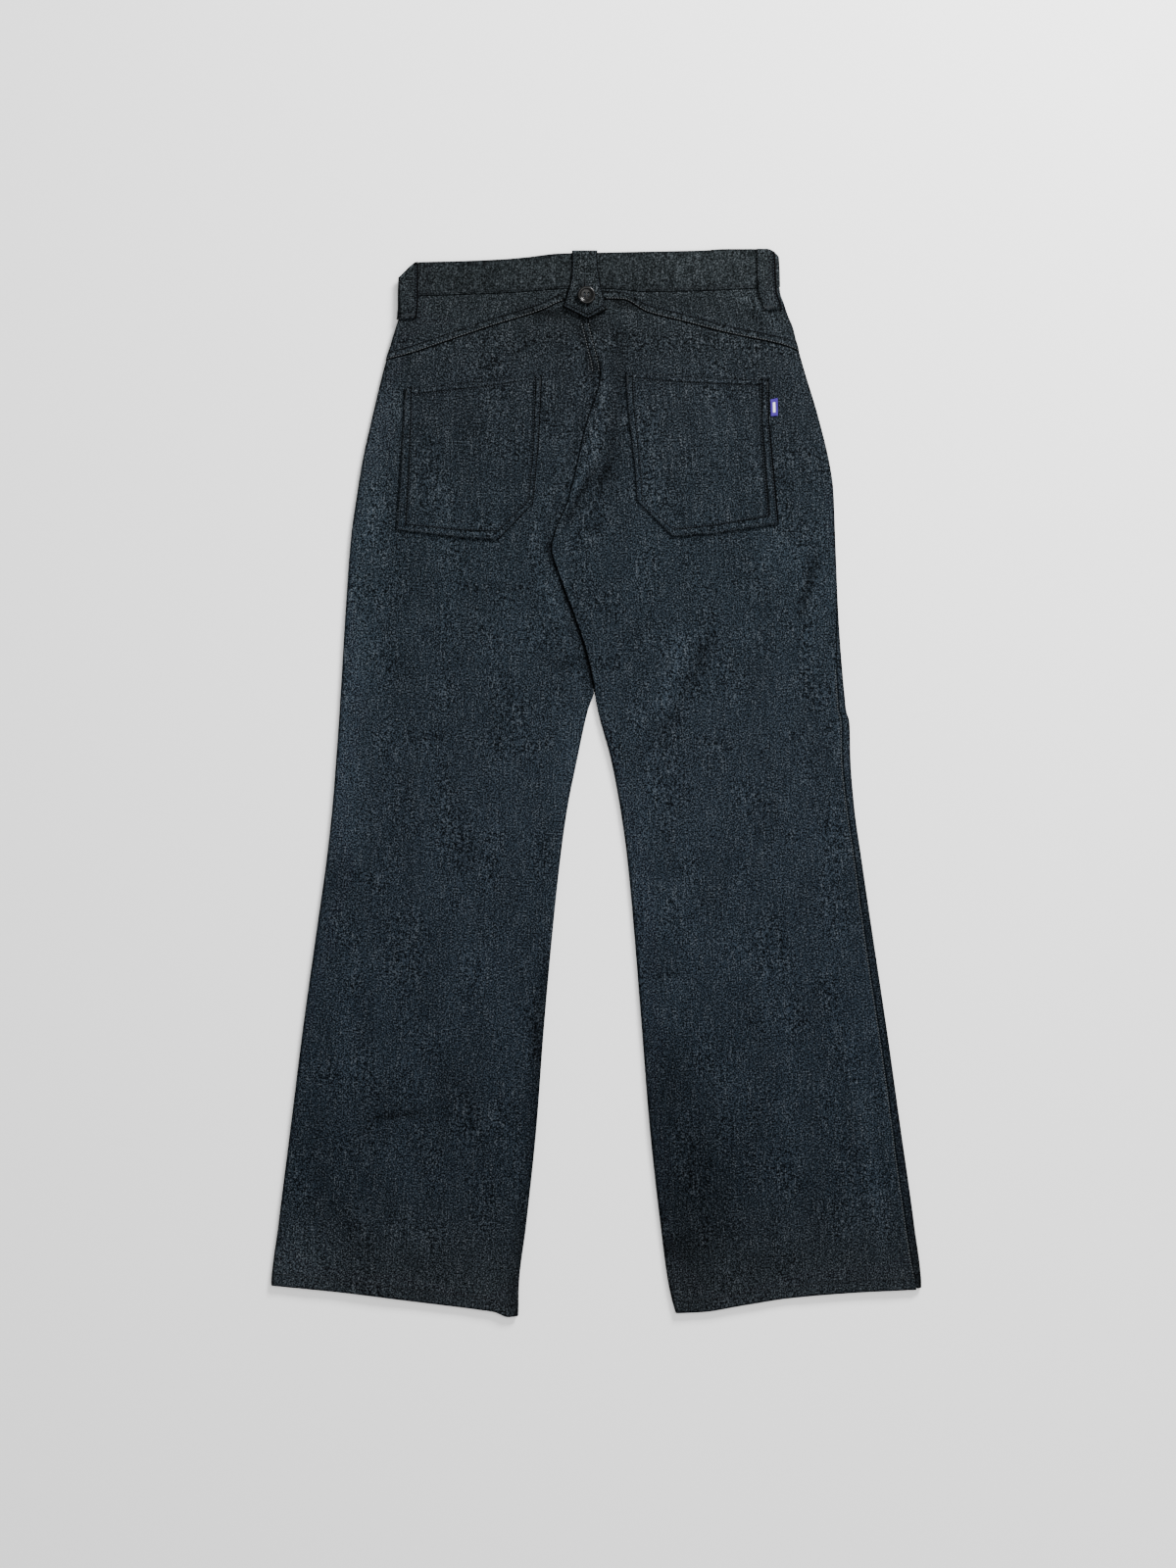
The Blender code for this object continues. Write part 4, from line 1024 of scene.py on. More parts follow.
def leg_panel(name, half, back, material):
    """A leg panel from the yoke or waistband to its hem, which is turned up inside."""
    zones = leg_zones(half, back)
    columns = sum(len(part) for part in zones)
    down = stops(PANEL_LENGTH, SEAM_ROWS, HEM_ROWS, LEG_STEP if back else FRONT_STEP)[:, None]
    from_hem = PANEL_LENGTH - down
    out = stitched_lift(from_hem, (HEM_STITCH,), HEM_STITCH + 2.5, 0.25, 0.22)
    out = np.broadcast_to(out - 0.3 * smooth(1 - down / 2.5), (len(down), columns))
    level = np.broadcast_to(PANEL_TOP + down, out.shape)
    for _ in range(5):
        x = leg_station(half, back, zones, level, out)[0]
        top = yoke_seam(x) + SEAM_GAP / 2 if back else front_seam(x) + SEAM_GAP
        level = fitted(down, top, HEM[half](x) - HEM_TURN - (0 if back else FRONT_HEM_SHORT))
    fold = np.linspace(0, math.pi, 7)[1:, None]
    turned_up = np.array((3.5, 8.0, cloth_sizes().hem_depth * 1000))[:, None]
    past = np.vstack((HEM_TURN * np.sin(fold), -turned_up))
    behind = np.vstack((HEM_TURN * (np.cos(fold) - 1), 0 * turned_up - 2 * HEM_TURN))
    level = np.vstack((level, level[-1:] + past))
    out = np.vstack((out, out[-1:] + behind))
    x, height = leg_station(half, back, zones, level, out)
    from_hem = np.vstack((from_hem, np.zeros((len(level) - len(from_hem), 1))))
    # Painted shade in the hem's groove and at its fold, on the front's rolled strip, beside the seat seam,
    # along the rolled outseam and the lap's edge, with painted light beside the outseam.
    kept = sewn_dark(from_hem + HEM_TURN, (HEM_STITCH + HEM_TURN,), 0.0, 0.4)
    kept = kept * rim_dark(from_hem + HEM_TURN, HEM_SHADE)
    if not back:
        kept = kept * (1 - ROLL_SHADE * after(level, ROLL_SHADE_ZONE))
    if back and half == "left":
        seat = before(level, SEAT_STITCH_END_ZONE) * after(level, SEAT_STITCH_ZONE)
        kept = kept * (1 - seat * (1 - sewn_dark(lap_x(level) - x, SEAT_STITCHES, 0.5)))
    if back and half == "right":
        rolled = after(level, ROLL_ZONE) * before(level, ROLL_END_ZONE)
        off = leg_line["right_outer"](level) - outseam_roll(level) - x
        kept = kept * (1 - rolled * (1 - sewn_dark(np.abs(off), (), 0.4)))
        kept = kept * (1 + ROLL_LIGHT * rolled * smooth(1.5 - np.abs(off - ROLL_LIGHT_OFF) / 1.6))
        from_lap = np.abs(x - lap_x(level))
        kept = kept * (1 - table_at(LAP_LINE, level) * smooth(1.5 - from_lap / LAP_LINE_REACH))
    faces_down = (half == "right") == back
    panel = cloth_grid(name, x, level, height, material, denim_wall(), faces_down, back, kept)
    if not back:
        panel.modifiers["rim"].use_clamp_overlap = True
    return panel


def denim_wall():
    return cloth_sizes().denim_wall * 1000


def yoke(name, half, material):
    """The yoke between the waistband and a back panel: its lower edge is felled over the panel."""
    zones = leg_zones(half, True)
    columns = sum(len(part) for part in zones)
    near = np.array(FELL_ROWS)[::-1, None]
    upper = np.linspace(0, 1, YOKE_ROWS, endpoint=False)[:, None]
    out = np.zeros((len(near) + len(upper), columns))
    level = np.full(out.shape, 65.0)
    for _ in range(6):
        x = leg_station(half, True, zones, level, out)[0]
        top, bottom = waist_seam(x) + SEAM_GAP, yoke_seam(x) - SEAM_GAP / 2
        tight = np.minimum(1.0, (bottom - top) / (FELL_ROWS[-1] + 3))
        fell_top = bottom - FELL_ROWS[-1] * tight
        split = len(upper)
        level = np.vstack((
            top[:split] + (fell_top[:split] - top[:split]) * upper, bottom[split:] - near * tight[split:]))
        out = stitched_lift(bottom - level, YOKE_STITCHES, FELL_WIDTH, 0.45, 0.2)
        out = out - 0.3 * smooth(1 - (level - top) / 2)
    x, height = leg_station(half, True, zones, level, out)
    # Painted shade in the stitch grooves and along the seam's edge, and under the waistband's edge.
    kept = sewn_dark(bottom - level, YOKE_STITCHES, 0.5) * (1 - 0.15 * smooth(1 - (level - top) / 1.8))
    return cloth_grid(name, x, level, height, material, denim_wall(), half == "right", kept=kept)


def waistband(material):
    """One strip all round: it starts under the front lap, passes over the back and ends on the lap."""
    turn = float(turn_length(BAND_SIDE_LEVEL))
    offset = stops(BAND_DEPTH, BAND_TOP_ROWS, BAND_SEAM_ROWS, 3.6)[:, None]
    share = offset / BAND_DEPTH
    groove = smooth(1 - np.abs(BAND_DEPTH - offset - BAND_STITCH) / 1.1)
    swell = BAND_PROUD + BAND_SWELL * np.sin(math.pi * share) - 0.22 * groove

    def flat_run(start, end):
        return np.linspace(start, end, round(abs(end - start) / BAND_STEP) + 1)[None, :]

    def down(top, seam, at):
        """Levels of the rows from the upper edge to the seam."""
        return top(at) + (seam(at) - SEAM_GAP / 2 - top(at)) * share

    def back_run(at):
        level = down(waist_top, waist_seam, at)
        return at + 0 * level, level, back_cloth(at, level) + swell

    def front_run(at, lifted):
        level = down(front_waist, front_seam, at)
        return at + 0 * level, level, front_cloth(at, level) - 0.8 * swell + lifted

    def side_run(edge, at):
        up = (at / turn + 1) / 2
        x = at_edge(edge, at, BAND_SIDE_LEVEL + 0 * at)[0]
        level = down(waist_top, waist_seam, x) * up + down(front_waist, front_seam, x) * (1 - up)
        x, height = at_edge(edge, at + 0 * level, level, out=swell)
        return x, level, height

    under = flat_run(BAND_UNDER_END, 160)
    step_start, step_end = BAND_STEP_DOWN
    stepped = (BAND_WALL + SEAM_GAP) * (1 - smooth((under - step_start) / (step_end - step_start)))
    around = np.linspace(-turn, turn, 17)[None, :]
    runs = (
        front_run(under, stepped),
        side_run("right_outer", around),
        back_run(flat_run(165, -180)),
        side_run("left_outer", -around),
        front_run(flat_run(-176, BAND_OVER_END), 0.0),
    )
    x, level, height = (np.hstack(parts) for parts in zip(*runs))
    # Painted shade in the stitch groove and where the band turns over at its upper edge.
    kept = sewn_dark(BAND_DEPTH - offset, (BAND_STITCH,), 0.0, 0.5) * rim_dark(offset, WAIST_SHADE)
    return cloth_grid("waistband_cloth", x, level, height, material, BAND_WALL, faces_down=True, kept=kept)


def patch_place(outline, half, u, v):
    """x and level inside a patch's four sides, filled in between them."""

    def read(side, share):
        corners = np.array(outline[side], float)
        at = np.linspace(0, 1, len(corners))
        return np.interp(share, at, corners[:, 0]), np.interp(share, at, corners[:, 1])

    left, right = ("outer", "inner") if half == "left" else ("inner", "outer")
    places = []
    for axis in (0, 1):
        top, bottom = read("top", u)[axis], read("bottom", u)[axis]
        west, east = read(left, v)[axis], read(right, v)[axis]
        upper = read("top", 0)[axis] * (1 - u) + read("top", 1)[axis] * u
        lower = read("bottom", 0)[axis] * (1 - u) + read("bottom", 1)[axis] * u
        places.append(top * (1 - v) + bottom * v + west * (1 - u) + east * u - upper * (1 - v) - lower * v)
    return places


def pocket(half, material):
    """A back pocket: turned and felled round its sides, with a hem along its mouth."""
    across = stops(POCKET_WIDTH, POCKET_ROWS, POCKET_ROWS, 3.4)[None, :]
    down = stops(POCKET_DEPTH, MOUTH_ROWS, POCKET_ROWS, 3.4)[:, None]
    x, level = patch_place(POCKETS[half], half, across / POCKET_WIDTH, down / POCKET_DEPTH)
    side = np.minimum(np.minimum(across, POCKET_WIDTH - across), POCKET_DEPTH - down)
    sides = stitched_lift(side, POCKET_STITCHES, POCKET_FELL, 0.35, 0.2)
    mouth = stitched_lift(down + 0 * side, MOUTH_STITCHES, MOUTH_FELL, 0.45, 0.2)
    height = back_cloth(x, level, half) + SEAM_GAP + denim_wall() + np.maximum(sides, 0) + mouth
    height = height - 0.2 * smooth(1 - np.abs(side - POCKET_STITCHES[0]) / 1.1)
    # Painted shade in the grooves and along the edges, deeper on the sides that face the key light, and under
    # the mouth's rows.
    slant = np.gradient(level, axis=1) / np.gradient(x, axis=1)
    at_side = np.sign(across - POCKET_WIDTH / 2) + 0 * slant
    lit = np.where(side < POCKET_DEPTH - down, at_side, -slant / np.hypot(1, slant))
    lit = np.maximum(POCKET_LEAST_LIT, lit)
    kept = sewn_dark(side, POCKET_STITCHES, 0.6 * lit, 0.3 + 0.6 * lit, lit)
    kept = kept * sewn_dark(down, MOUTH_STITCHES, 0.2, 0.5)
    return cloth_grid(f"back_pocket_{half}_cloth", x, level, height, material, denim_wall(), kept=kept)


def back_tab(material):
    """The tab sewn over the waist's upper edge: down the back to a stitched point, with its buttonhole."""
    edge_level = float(waist_top(-11.0))
    corner_level, left_corner, right_corner = TAB_SIDES[-1]
    width = right_corner - left_corner
    across = stops(1.0, TAB_ACROSS, TAB_ACROSS, 0.03)[None, :]
    beyond = stops(corner_level - edge_level, TAB_ROWS, (0.0,), 1.3)[:, None]
    reach = np.maximum(TAB_POINT[0] - left_corner, right_corner - TAB_POINT[0])
    side_level = corner_level - beyond
    x = tab_left(side_level) + (tab_right(side_level) - tab_left(side_level)) * across
    near = np.maximum(0.0, 1 - np.abs(left_corner + width * across - TAB_POINT[0]) / reach)
    level = side_level + (TAB_POINT[1] - corner_level) * near * (1 - smooth(beyond / 24))
    side = np.minimum(across, 1 - across) * width + 0 * beyond
    beyond = beyond + 0 * side
    rows = stitched_lift(side, TAB_STITCHES, 5.0, 0.3, 0.22)
    point_rows = stitched_lift(beyond, TAB_POINT_STITCHES, 7.5, 0.3, 0.22)
    slot = SLOT_DEPTH * smooth(1 - np.abs(x - SLOT_X) / 1.2) * smooth((level - SLOT_TOP) / 1.5)
    slot = slot * smooth((SLOT_BOTTOM - level) / 1.5)
    height = WAIST_HEIGHT + BAND_PROUD + SEAM_GAP + TAB_WALL - slot
    height = height + np.maximum(rows, point_rows) * smooth(side / 0.8 + 0.4) + 0.8 * smooth(1 - beyond / 9)
    # Over the waist's edge, round the band's own turn, and down inside.
    middle = WAIST_HEIGHT + BAND_PROUD - BAND_WALL / 2
    radius = BAND_WALL / 2 + SEAM_GAP + TAB_WALL
    angle = np.linspace(0, math.pi, 11)[1:, None]
    top_x = tab_left(9.0) + (tab_right(9.0) - tab_left(9.0)) * across
    tail = np.array((4.0, TAB_TAIL))[:, None]
    past = np.vstack((-radius * np.sin(angle), tail))
    up = np.vstack((radius * np.cos(angle), 0 * tail - radius))
    # Painted shade in the grooves, along the sides and the point, and in the buttonhole's slot.
    kept = sewn_dark(side, TAB_STITCHES, 0.6) * sewn_dark(beyond, TAB_POINT_STITCHES, 0.9)
    kept = kept * (1 - 0.7 * smooth(slot / 0.5))
    kept = np.vstack((kept, np.ones((len(past), kept.shape[1]))))
    x = np.vstack((x, top_x + 0 * past))
    level = np.vstack((level, edge_level + past + 0 * top_x))
    height = np.vstack((height, middle + up + 0 * top_x))
    return cloth_grid("back_tab_cloth", x, level, height, material, TAB_WALL, faces_down=True, kept=kept)


def loop_grid():
    """Shares of a loop's width and length at its columns and rows."""
    across = stops(1.0, LOOP_ACROSS, LOOP_ACROSS, 0.08)[None, :]
    return across, stops(1.0, (0, 0.02, 0.05), (0, 0.015, 0.03, 0.05, 0.08), 0.06)[:, None]


def band_top(edge, along):
    """Level of the waistband's upper edge a length of cloth in from the side."""
    return waist_top(at_edge(edge, along, BAND_SIDE_LEVEL + 0 * along)[0])


def side_loop(half, material):
    """A belt loop that shows at one side of the back, partly on the turn of the side."""
    first, width, length = SIDE_LOOPS[half]
    edge, (across, down) = f"{half}_outer", loop_grid()
    along = first + across * width + 0 * down
    start = band_top(edge, along)
    end = float(band_top(edge, np.array(first + width))) + length
    side = np.minimum(across, 1 - across) * width
    lift = stitched_lift(side, (LOOP_STITCH,), 4.0, 0.2, 0.2) + 0.5 * np.sin(math.pi * down) ** 2
    out = BAND_PROUD + SEAM_GAP + LOOP_WALL + lift - 0.35 * smooth(1 - np.abs(down - 0.95) / 0.06)
    level = start + (end - start) * down
    x, height = at_edge(edge, along, level, out=out)
    # Painted shade in the groove and along the edge, deeper on the side that faces the key light.
    lit = 1.0 * ((across > 0.5) == (half == "left"))
    kept = sewn_dark(side, (LOOP_STITCH,), 0.7 * lit, 0.45 + 0.4 * lit, lit)
    name = f"belt_loop_{half}_cloth"
    return cloth_grid(name, x, level, height, material, LOOP_WALL, half == "right", kept=kept)


def front_loop(half, middle, material):
    """A belt loop on the hidden front, flush with the ground."""
    width, length = FRONT_LOOP_SIZE
    across, down = loop_grid()
    x = middle + (across - 0.5) * width + 0 * down
    side = np.minimum(across, 1 - across) * width
    dent = 0.2 * (smooth(1 - np.abs(down - 0.95) / 0.06) + smooth(1 - np.abs(side - LOOP_STITCH) / 1.1))
    level = front_waist(x) + down * length
    name = f"belt_loop_front_{half}_cloth"
    return cloth_grid(name, x, level, dent + 0 * level, material, LOOP_WALL, faces_down=True, up=False)


def fly_strip(material):
    """The strip behind the front opening, with a rounded lower corner."""
    across, down = np.linspace(0, 1, 15)[None, :], np.linspace(0, 1, 46)[:, None]
    rounding = FLY_ROUNDING * smooth((down - 0.86) / 0.14) ** 2
    x = FLY_SIDES[0] + (FLY_SIDES[1] - rounding - FLY_SIDES[0]) * across + 0 * down
    top = front_seam(x) + SEAM_GAP
    level = top + (FLY_BOTTOM - top) * down
    height = front_cloth(x, level) + 2 * denim_wall() + SEAM_GAP
    return cloth_grid("fly_strip_cloth", x, level, height, material, denim_wall(), up=False)


def side_label(material):
    """The small folded label caught in the right pocket's outer seam."""
    u, v = np.linspace(0, 1, 9)[None, :], np.linspace(0, 1, 17)[:, None]
    (x1, l1), (x2, l2), (x3, l3), (x4, l4) = LABEL
    x = (x1 + (x2 - x1) * u) * (1 - v) + (x4 + (x3 - x4) * u) * v
    level = (l1 + (l2 - l1) * u) * (1 - v) + (l4 + (l3 - l4) * u) * v
    lift = LABEL_WALL + 0.5 * smooth((u - 0.35) / 0.65) + 0.12 * np.sin(2 * math.pi * v) * u
    height = back_cloth(x, level) + SEAM_GAP + lift
    return cloth_grid("side_label_ribbon", x, level, height, material, LABEL_WALL)


def turned(name, profile, at, base, material, steps=56):
    """A round piece spun from its profile of radius and height, from one face's middle to the other's."""
    bm = bmesh.new()
    verts = [bm.verts.new((radius / 1000, 0, height / 1000)) for radius, height in profile]
    edges = [bm.edges.new(pair) for pair in zip(verts, verts[1:])]
    bmesh.ops.spin(bm, geom=verts + edges, axis=(0, 0, 1), cent=(0, 0, 0), angle=math.tau, steps=steps,
                   use_merge=True)
    bmesh.ops.remove_doubles(bm, verts=bm.verts, dist=1e-6)
    bmesh.ops.recalc_face_normals(bm, faces=bm.faces)
    bmesh.ops.translate(bm, verts=bm.verts, vec=world(at[0], at[1], base))
    return finish(name, bm, material)


def button_base():
    """Height of the back button's underside, above the tab."""
    return WAIST_HEIGHT + BAND_PROUD + SEAM_GAP + TAB_WALL + SEAM_GAP


def back_button(material):
    """The tab's button: a thick round rim, a dished middle and four holes."""
    r, h = BUTTON_RADIUS, BUTTON_HEIGHT
    angles = np.linspace(-0.9, 2.5, 14)
    rim = [(r * (0.85 + 0.15 * math.cos(a)), h * (0.62 + 0.38 * math.sin(a))) for a in angles]
    foot, dish = ([(r * out, h * up) for out, up in shares] for shares in (BUTTON_FOOT, BUTTON_DISH))
    profile = [*foot, *rim, *dish]
    button = turned("back_button_horn", profile, BUTTON_AT, button_base(), material)
    drills = []
    for x, level in button_holes():
        bm = bmesh.new()
        bmesh.ops.create_cone(bm, cap_ends=True, segments=20, radius1=0.00085, radius2=0.00085, depth=0.012)
        bmesh.ops.translate(bm, verts=bm.verts, vec=world(x, level, button_base()))
        drill = finish("drill", bm, material)
        cut = button.modifiers.new("hole", "BOOLEAN")
        cut.object, cut.operation, cut.solver = drill, "DIFFERENCE", "EXACT"
        drills.append(drill)
    drilled = bpy.data.meshes.new_from_object(button.evaluated_get(bpy.context.evaluated_depsgraph_get()))
    button.modifiers.clear()
    button.data = drilled
    for drill in drills:
        bpy.data.objects.remove(drill)
    return button


def button_holes():
    """Places of the back button's four holes."""
    corners = [math.radians(45 + 90 * k) for k in range(4)]
    return [(BUTTON_AT[0] + HOLE_OUT * math.cos(a), BUTTON_AT[1] - HOLE_OUT * math.sin(a)) for a in corners]


def front_button(material):
    """The waist button's cap: a ring round a shallow dome, facing the ground."""
    r, top = FRONT_BUTTON_RADIUS, FRONT_LIFT - BAND_PROUD - SEAM_GAP
    ring = [(r * (0.9 + 0.1 * math.cos(a)), 0.5 + 0.5 * math.sin(a)) for a in np.linspace(-2.6, 0.3, 10)]
    profile = [(0, 0.22), (r * 0.3, 0.26), (r * 0.55, 0.36), (r * 0.72, 0.55), (r * 0.78, 0.6), *ring]
    return turned("front_button_cap", [*profile, (r * 0.95, top), (0, top)], FRONT_BUTTON_AT, 0.0, material)


def stitch_form(radius):
    """One stitch, a unit long: a short arched strand whose ends go down into the cloth."""
    bm = bmesh.new()
    lying = Matrix.Rotation(math.pi / 2, 4, "Y")
    bmesh.ops.create_cone(
        bm, cap_ends=True, segments=6, radius1=radius, radius2=radius, depth=1.0, matrix=lying)
    long_edges = [edge for edge in bm.edges if abs(edge.verts[0].co.x - edge.verts[1].co.x) > 0.5]
    bmesh.ops.subdivide_edges(bm, edges=long_edges, cuts=3)
    for vert in bm.verts:
        bend = (2 * vert.co.x) ** 2
        vert.co.y *= 1 - 0.3 * bend
        vert.co.z = vert.co.z * (1 - 0.3 * bend) + radius * (0.55 - 1.5 * bend)
    form = bpy.data.meshes.new("stitch_form")
    bm.to_mesh(form)
    bm.free()
    return form


def surface_trees(*names):
    """The outer surfaces that a row of stitches goes through."""
    graph = bpy.context.evaluated_depsgraph_get()
    return [BVHTree.FromObject(bpy.data.objects[name], graph) for name in names]


def on_surface(trees, x, level, above=True):
    """The point and facing of the outermost cloth at a place, seen from above or from below."""
    side = 1 if above else -1
    start, toward = world(x, level, 60 * side), Vector((0, 0, -side))
    hits = [tree.ray_cast(start, toward, 0.1) for tree in trees]
    hits = [hit for hit in hits if hit[0] is not None]
    if not hits:
        return None
    place, facing, _, _ = min(hits, key=lambda hit: hit[3])
    return place, facing if facing.z * side > 0 else -facing


def lay_stitch(bm, form, start, end, facing):
    """Adds a stitch from one point to another on a surface that faces a given way."""
    run = end - start
    side = facing.cross(run).normalized()
    up = run.cross(side).normalized()
    middle = (start + end) / 2
    stitch = form.copy()
    stitch.transform(Matrix((
        (run.x, side.x, up.x, middle.x), (run.y, side.y, up.y, middle.y), (run.z, side.z, up.z, middle.z),
        (0, 0, 0, 1))))
    bm.from_mesh(stitch)
    bpy.data.meshes.remove(stitch)


def stitch_between(bm, form, ends):
    """Adds a stitch between two places on the cloth, if both are on it."""
    if None not in ends:
        (start, facing), (end, other_facing) = ends
        lay_stitch(bm, form, start, end, (facing + other_facing).normalized())


def stitch_row(bm, form, trees, path, above=True):
    """Topstitches along a path of x and level."""
    path = np.array(path, float)
    run = np.concatenate(([0.0], np.cumsum(np.hypot(*np.diff(path, axis=0).T))))
    pitch, length = cloth_sizes().stitch_pitch * 1000, cloth_sizes().stitch_length * 1000
    count = max(1, int(run[-1] / pitch))
    for middle in (np.arange(count) + 0.5) * run[-1] / count:
        ends = [middle - length / 2, middle + length / 2]
        places = zip(np.interp(ends, run, path[:, 0]), np.interp(ends, run, path[:, 1]))
        stitch_between(bm, form, [on_surface(trees, x, level, above) for x, level in places])


def tack_row(bm, form, trees, start, end, width, above=True):
    """A bar tack: close stitches side by side across a line."""
    run = Vector(end) - Vector(start)
    across = Vector((-run.y, run.x)).normalized() * width / 2
    for k in range(round(run.length / TACK_PITCH) + 1):
        middle = Vector(start) + run * min(1.0, k * TACK_PITCH / run.length)
        sway = across * (1 + 0.12 * math.sin(2.4 * k))
        stitch_between(bm, form, [on_surface(trees, *(middle + side * sway), above) for side in (1, -1)])


def threads(name, bm, material):
    """Makes the stitches of one kind a piece. The ground presses those on the lower side flat."""
    for vert in bm.verts:
        vert.co.z = max(0.0, vert.co.z)
    piece = finish(name, bm, material)
    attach(piece, "root")


def path_of(x, level):
    """A path from its xs and levels, either of which may be one number."""
    return np.column_stack(np.broadcast_arrays(x, level))


def rows_along(seam, runs, above, points=50):
    """Rows a distance above a seam, each from one x to another."""
    runs = [np.linspace(*run, points) for run in runs]
    return [path_of(xs, seam(xs) - above) for xs in runs]


def pocket_paths(outline, half):
    """The lines of a pocket's topstitching: two round its sides and two under its mouth."""
    along = np.linspace(0, 1, 60)

    def at(across, down):
        return path_of(*patch_place(outline, half, across + 0 * along, down + 0 * along))

    paths = []
    first_side, first_mouth = POCKET_STITCHES[0] / POCKET_WIDTH, MOUTH_STITCHES[0] / POCKET_DEPTH
    for row, mouth in zip(POCKET_STITCHES, MOUTH_STITCHES):
        side, bottom = row / POCKET_WIDTH, 1 - row / POCKET_DEPTH
        down = first_mouth + (bottom - first_mouth) * along
        paths += [at(side, down), at(1 - side, down), at(side + (1 - 2 * side) * along, bottom)]
        paths.append(at(first_side + (1 - 2 * first_side) * along, mouth / POCKET_DEPTH))
    return paths


def tab_paths():
    """The lines of the tab's topstitching: its sides and the two rows along its point."""
    corner_level, left, right = TAB_SIDES[-1]
    levels = np.linspace(4, corner_level - 1.5, 20)
    off = TAB_STITCHES[0]
    paths = [path_of(tab_left(levels) + off, levels), path_of(tab_right(levels) - off, levels)]
    for row in TAB_POINT_STITCHES:
        drop = np.array((corner_level, TAB_POINT[1], corner_level)) - row * 1.1
        paths.append(path_of((left + 1.6, TAB_POINT[0], right - 1.6), drop))
    return paths


def back_seat_paths():
    """The two rows beside the centre back seam, left of its edge."""
    levels = np.linspace(77, 126, 30)
    return [path_of(lap_x(levels) - off, levels) for off in SEAT_STITCHES]


def outseam_path():
    """The row along the right outseam, where it is rolled onto the back."""
    levels = np.linspace(430, 1052, 120)
    return path_of(at_edge("right_outer", outseam_roll(levels) + 1.9, levels)[0], levels)


def fly_paths():
    """The curved rows that hold the fly, on the hidden front."""
    levels = np.linspace(64, FLY_BOTTOM, 50)
    turn = np.clip((levels - FLY_BOTTOM + FLY_CURVE) / FLY_CURVE, 0, 1)
    return [
        path_of(centre_front(levels) - 1.5 - (FLY_ROW - off) * np.sqrt(1 - turn**2), levels - off * turn)
        for off in (0.0, FLY_ROW_GAP)
    ]


def pocket_mouth_paths(side):
    """The curved rows along a front pocket's mouth, on the left where side is minus one."""
    angle = np.linspace(0, math.pi / 2, 40)
    (x, level), (reach, depth) = MOUTH_MIDDLE, MOUTH_RADII
    return [
        path_of(side * (x - (reach + off) * np.cos(angle)), level + (depth + off) * np.sin(angle))
        for off in MOUTH_CURVE_ROWS
    ]


def front_loop_paths(middle):
    """The rows along a front loop's edges."""
    top = float(front_waist(middle))
    levels = np.linspace(top + 3, top + 53, 20)
    return [path_of(middle + off, levels) for off in (-5.3, 5.3)]


def buttonhole(bm, form, trees):
    """The slot's worked edge: close stitches on both sides of it and across its upper end."""
    upright = Vector((0, 0, 1))
    for level in np.arange(SLOT_TOP, SLOT_BOTTOM - 5.5, 0.62):
        for side in (-1, 1):
            ends = [on_surface(trees, SLOT_X + side * off, level)[0] for off in (0.55, 2.0)]
            lay_stitch(bm, form, *ends, upright)
    for angle in np.linspace(0.25, math.pi - 0.25, 6):
        across, upward = math.cos(angle), math.sin(angle) * 0.9
        ends = [on_surface(trees, SLOT_X + across * off, SLOT_TOP - upward * off)[0] for off in (0.5, 1.9)]
        lay_stitch(bm, form, *ends, upright)


def button_threads(bm, form):
    """The strands that cross the button's face from hole to hole, and go down its holes."""
    top = button_base() + BUTTON_HEIGHT * 0.6
    holes = button_holes()
    offs = (-STRAND_GAP, 0.0, STRAND_GAP)
    for first, second in ((0, 3), (1, 2)):
        for off in offs:
            ends = [world(holes[k][0] + off, holes[k][1], top) for k in (first, second)]
            lay_stitch(bm, form, *ends, Vector((0, 0, 1)))
    for x, level in holes:
        for off in offs:
            ends = [world(x + off, level, top - deep) for deep in (0.1, 1.9)]
            lay_stitch(bm, form, *ends, Vector((0, 1, 0)))


def size_file():
    """Gathers the frame's box and the finished one's as lists of numbers."""
    boxes = [[[float(value) for value in corner] for corner in box] for box in (CAD_BOX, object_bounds())]


def sewn(piece, node):
    """Hangs a piece of cloth under the root and hides the node that it stands for; the size of its cut is
    looked up but not used.
    """
    width, length, area = CUTS[node]
    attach(piece, "root")
    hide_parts(node)


def trimmed(piece, node):
    """Hangs a hard piece under the root and hides the node that it stands for."""
    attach(piece, "root")
    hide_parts(node)


def cloth_finish(name, **settings):
    """The denim of one kind of piece, made once."""
    return bpy.data.materials.get(name) or denim(name, **settings)


def colour(name, description, default):
    return FloatVectorProperty(
        name=name, description=description, default=default, min=0, max=1, subtype="COLOR")


def length(name, description, default):
    return FloatProperty(name=name, description=description, default=default, unit="LENGTH")


class ClothSizes(bpy.types.PropertyGroup):
    """Sizes of the cloth and its sewing."""

    denim_wall: length("Denim", "Thickness of one layer", 0.001)
    hem_depth: length("Hem", "Depth of the turned-up hem", 0.0125)
    crease_strength: FloatProperty(
        name="Creases", description="Share of the creases' full height", default=1.0, min=0.0,
        subtype="FACTOR")
    stitch_pitch: length("Pitch", "From stitch to stitch", 0.0028)
    stitch_length: length("Stitch", "Length of a stitch", 0.0021)
    thread_radius: length("Thread", "Radius of the thread", 0.00036)


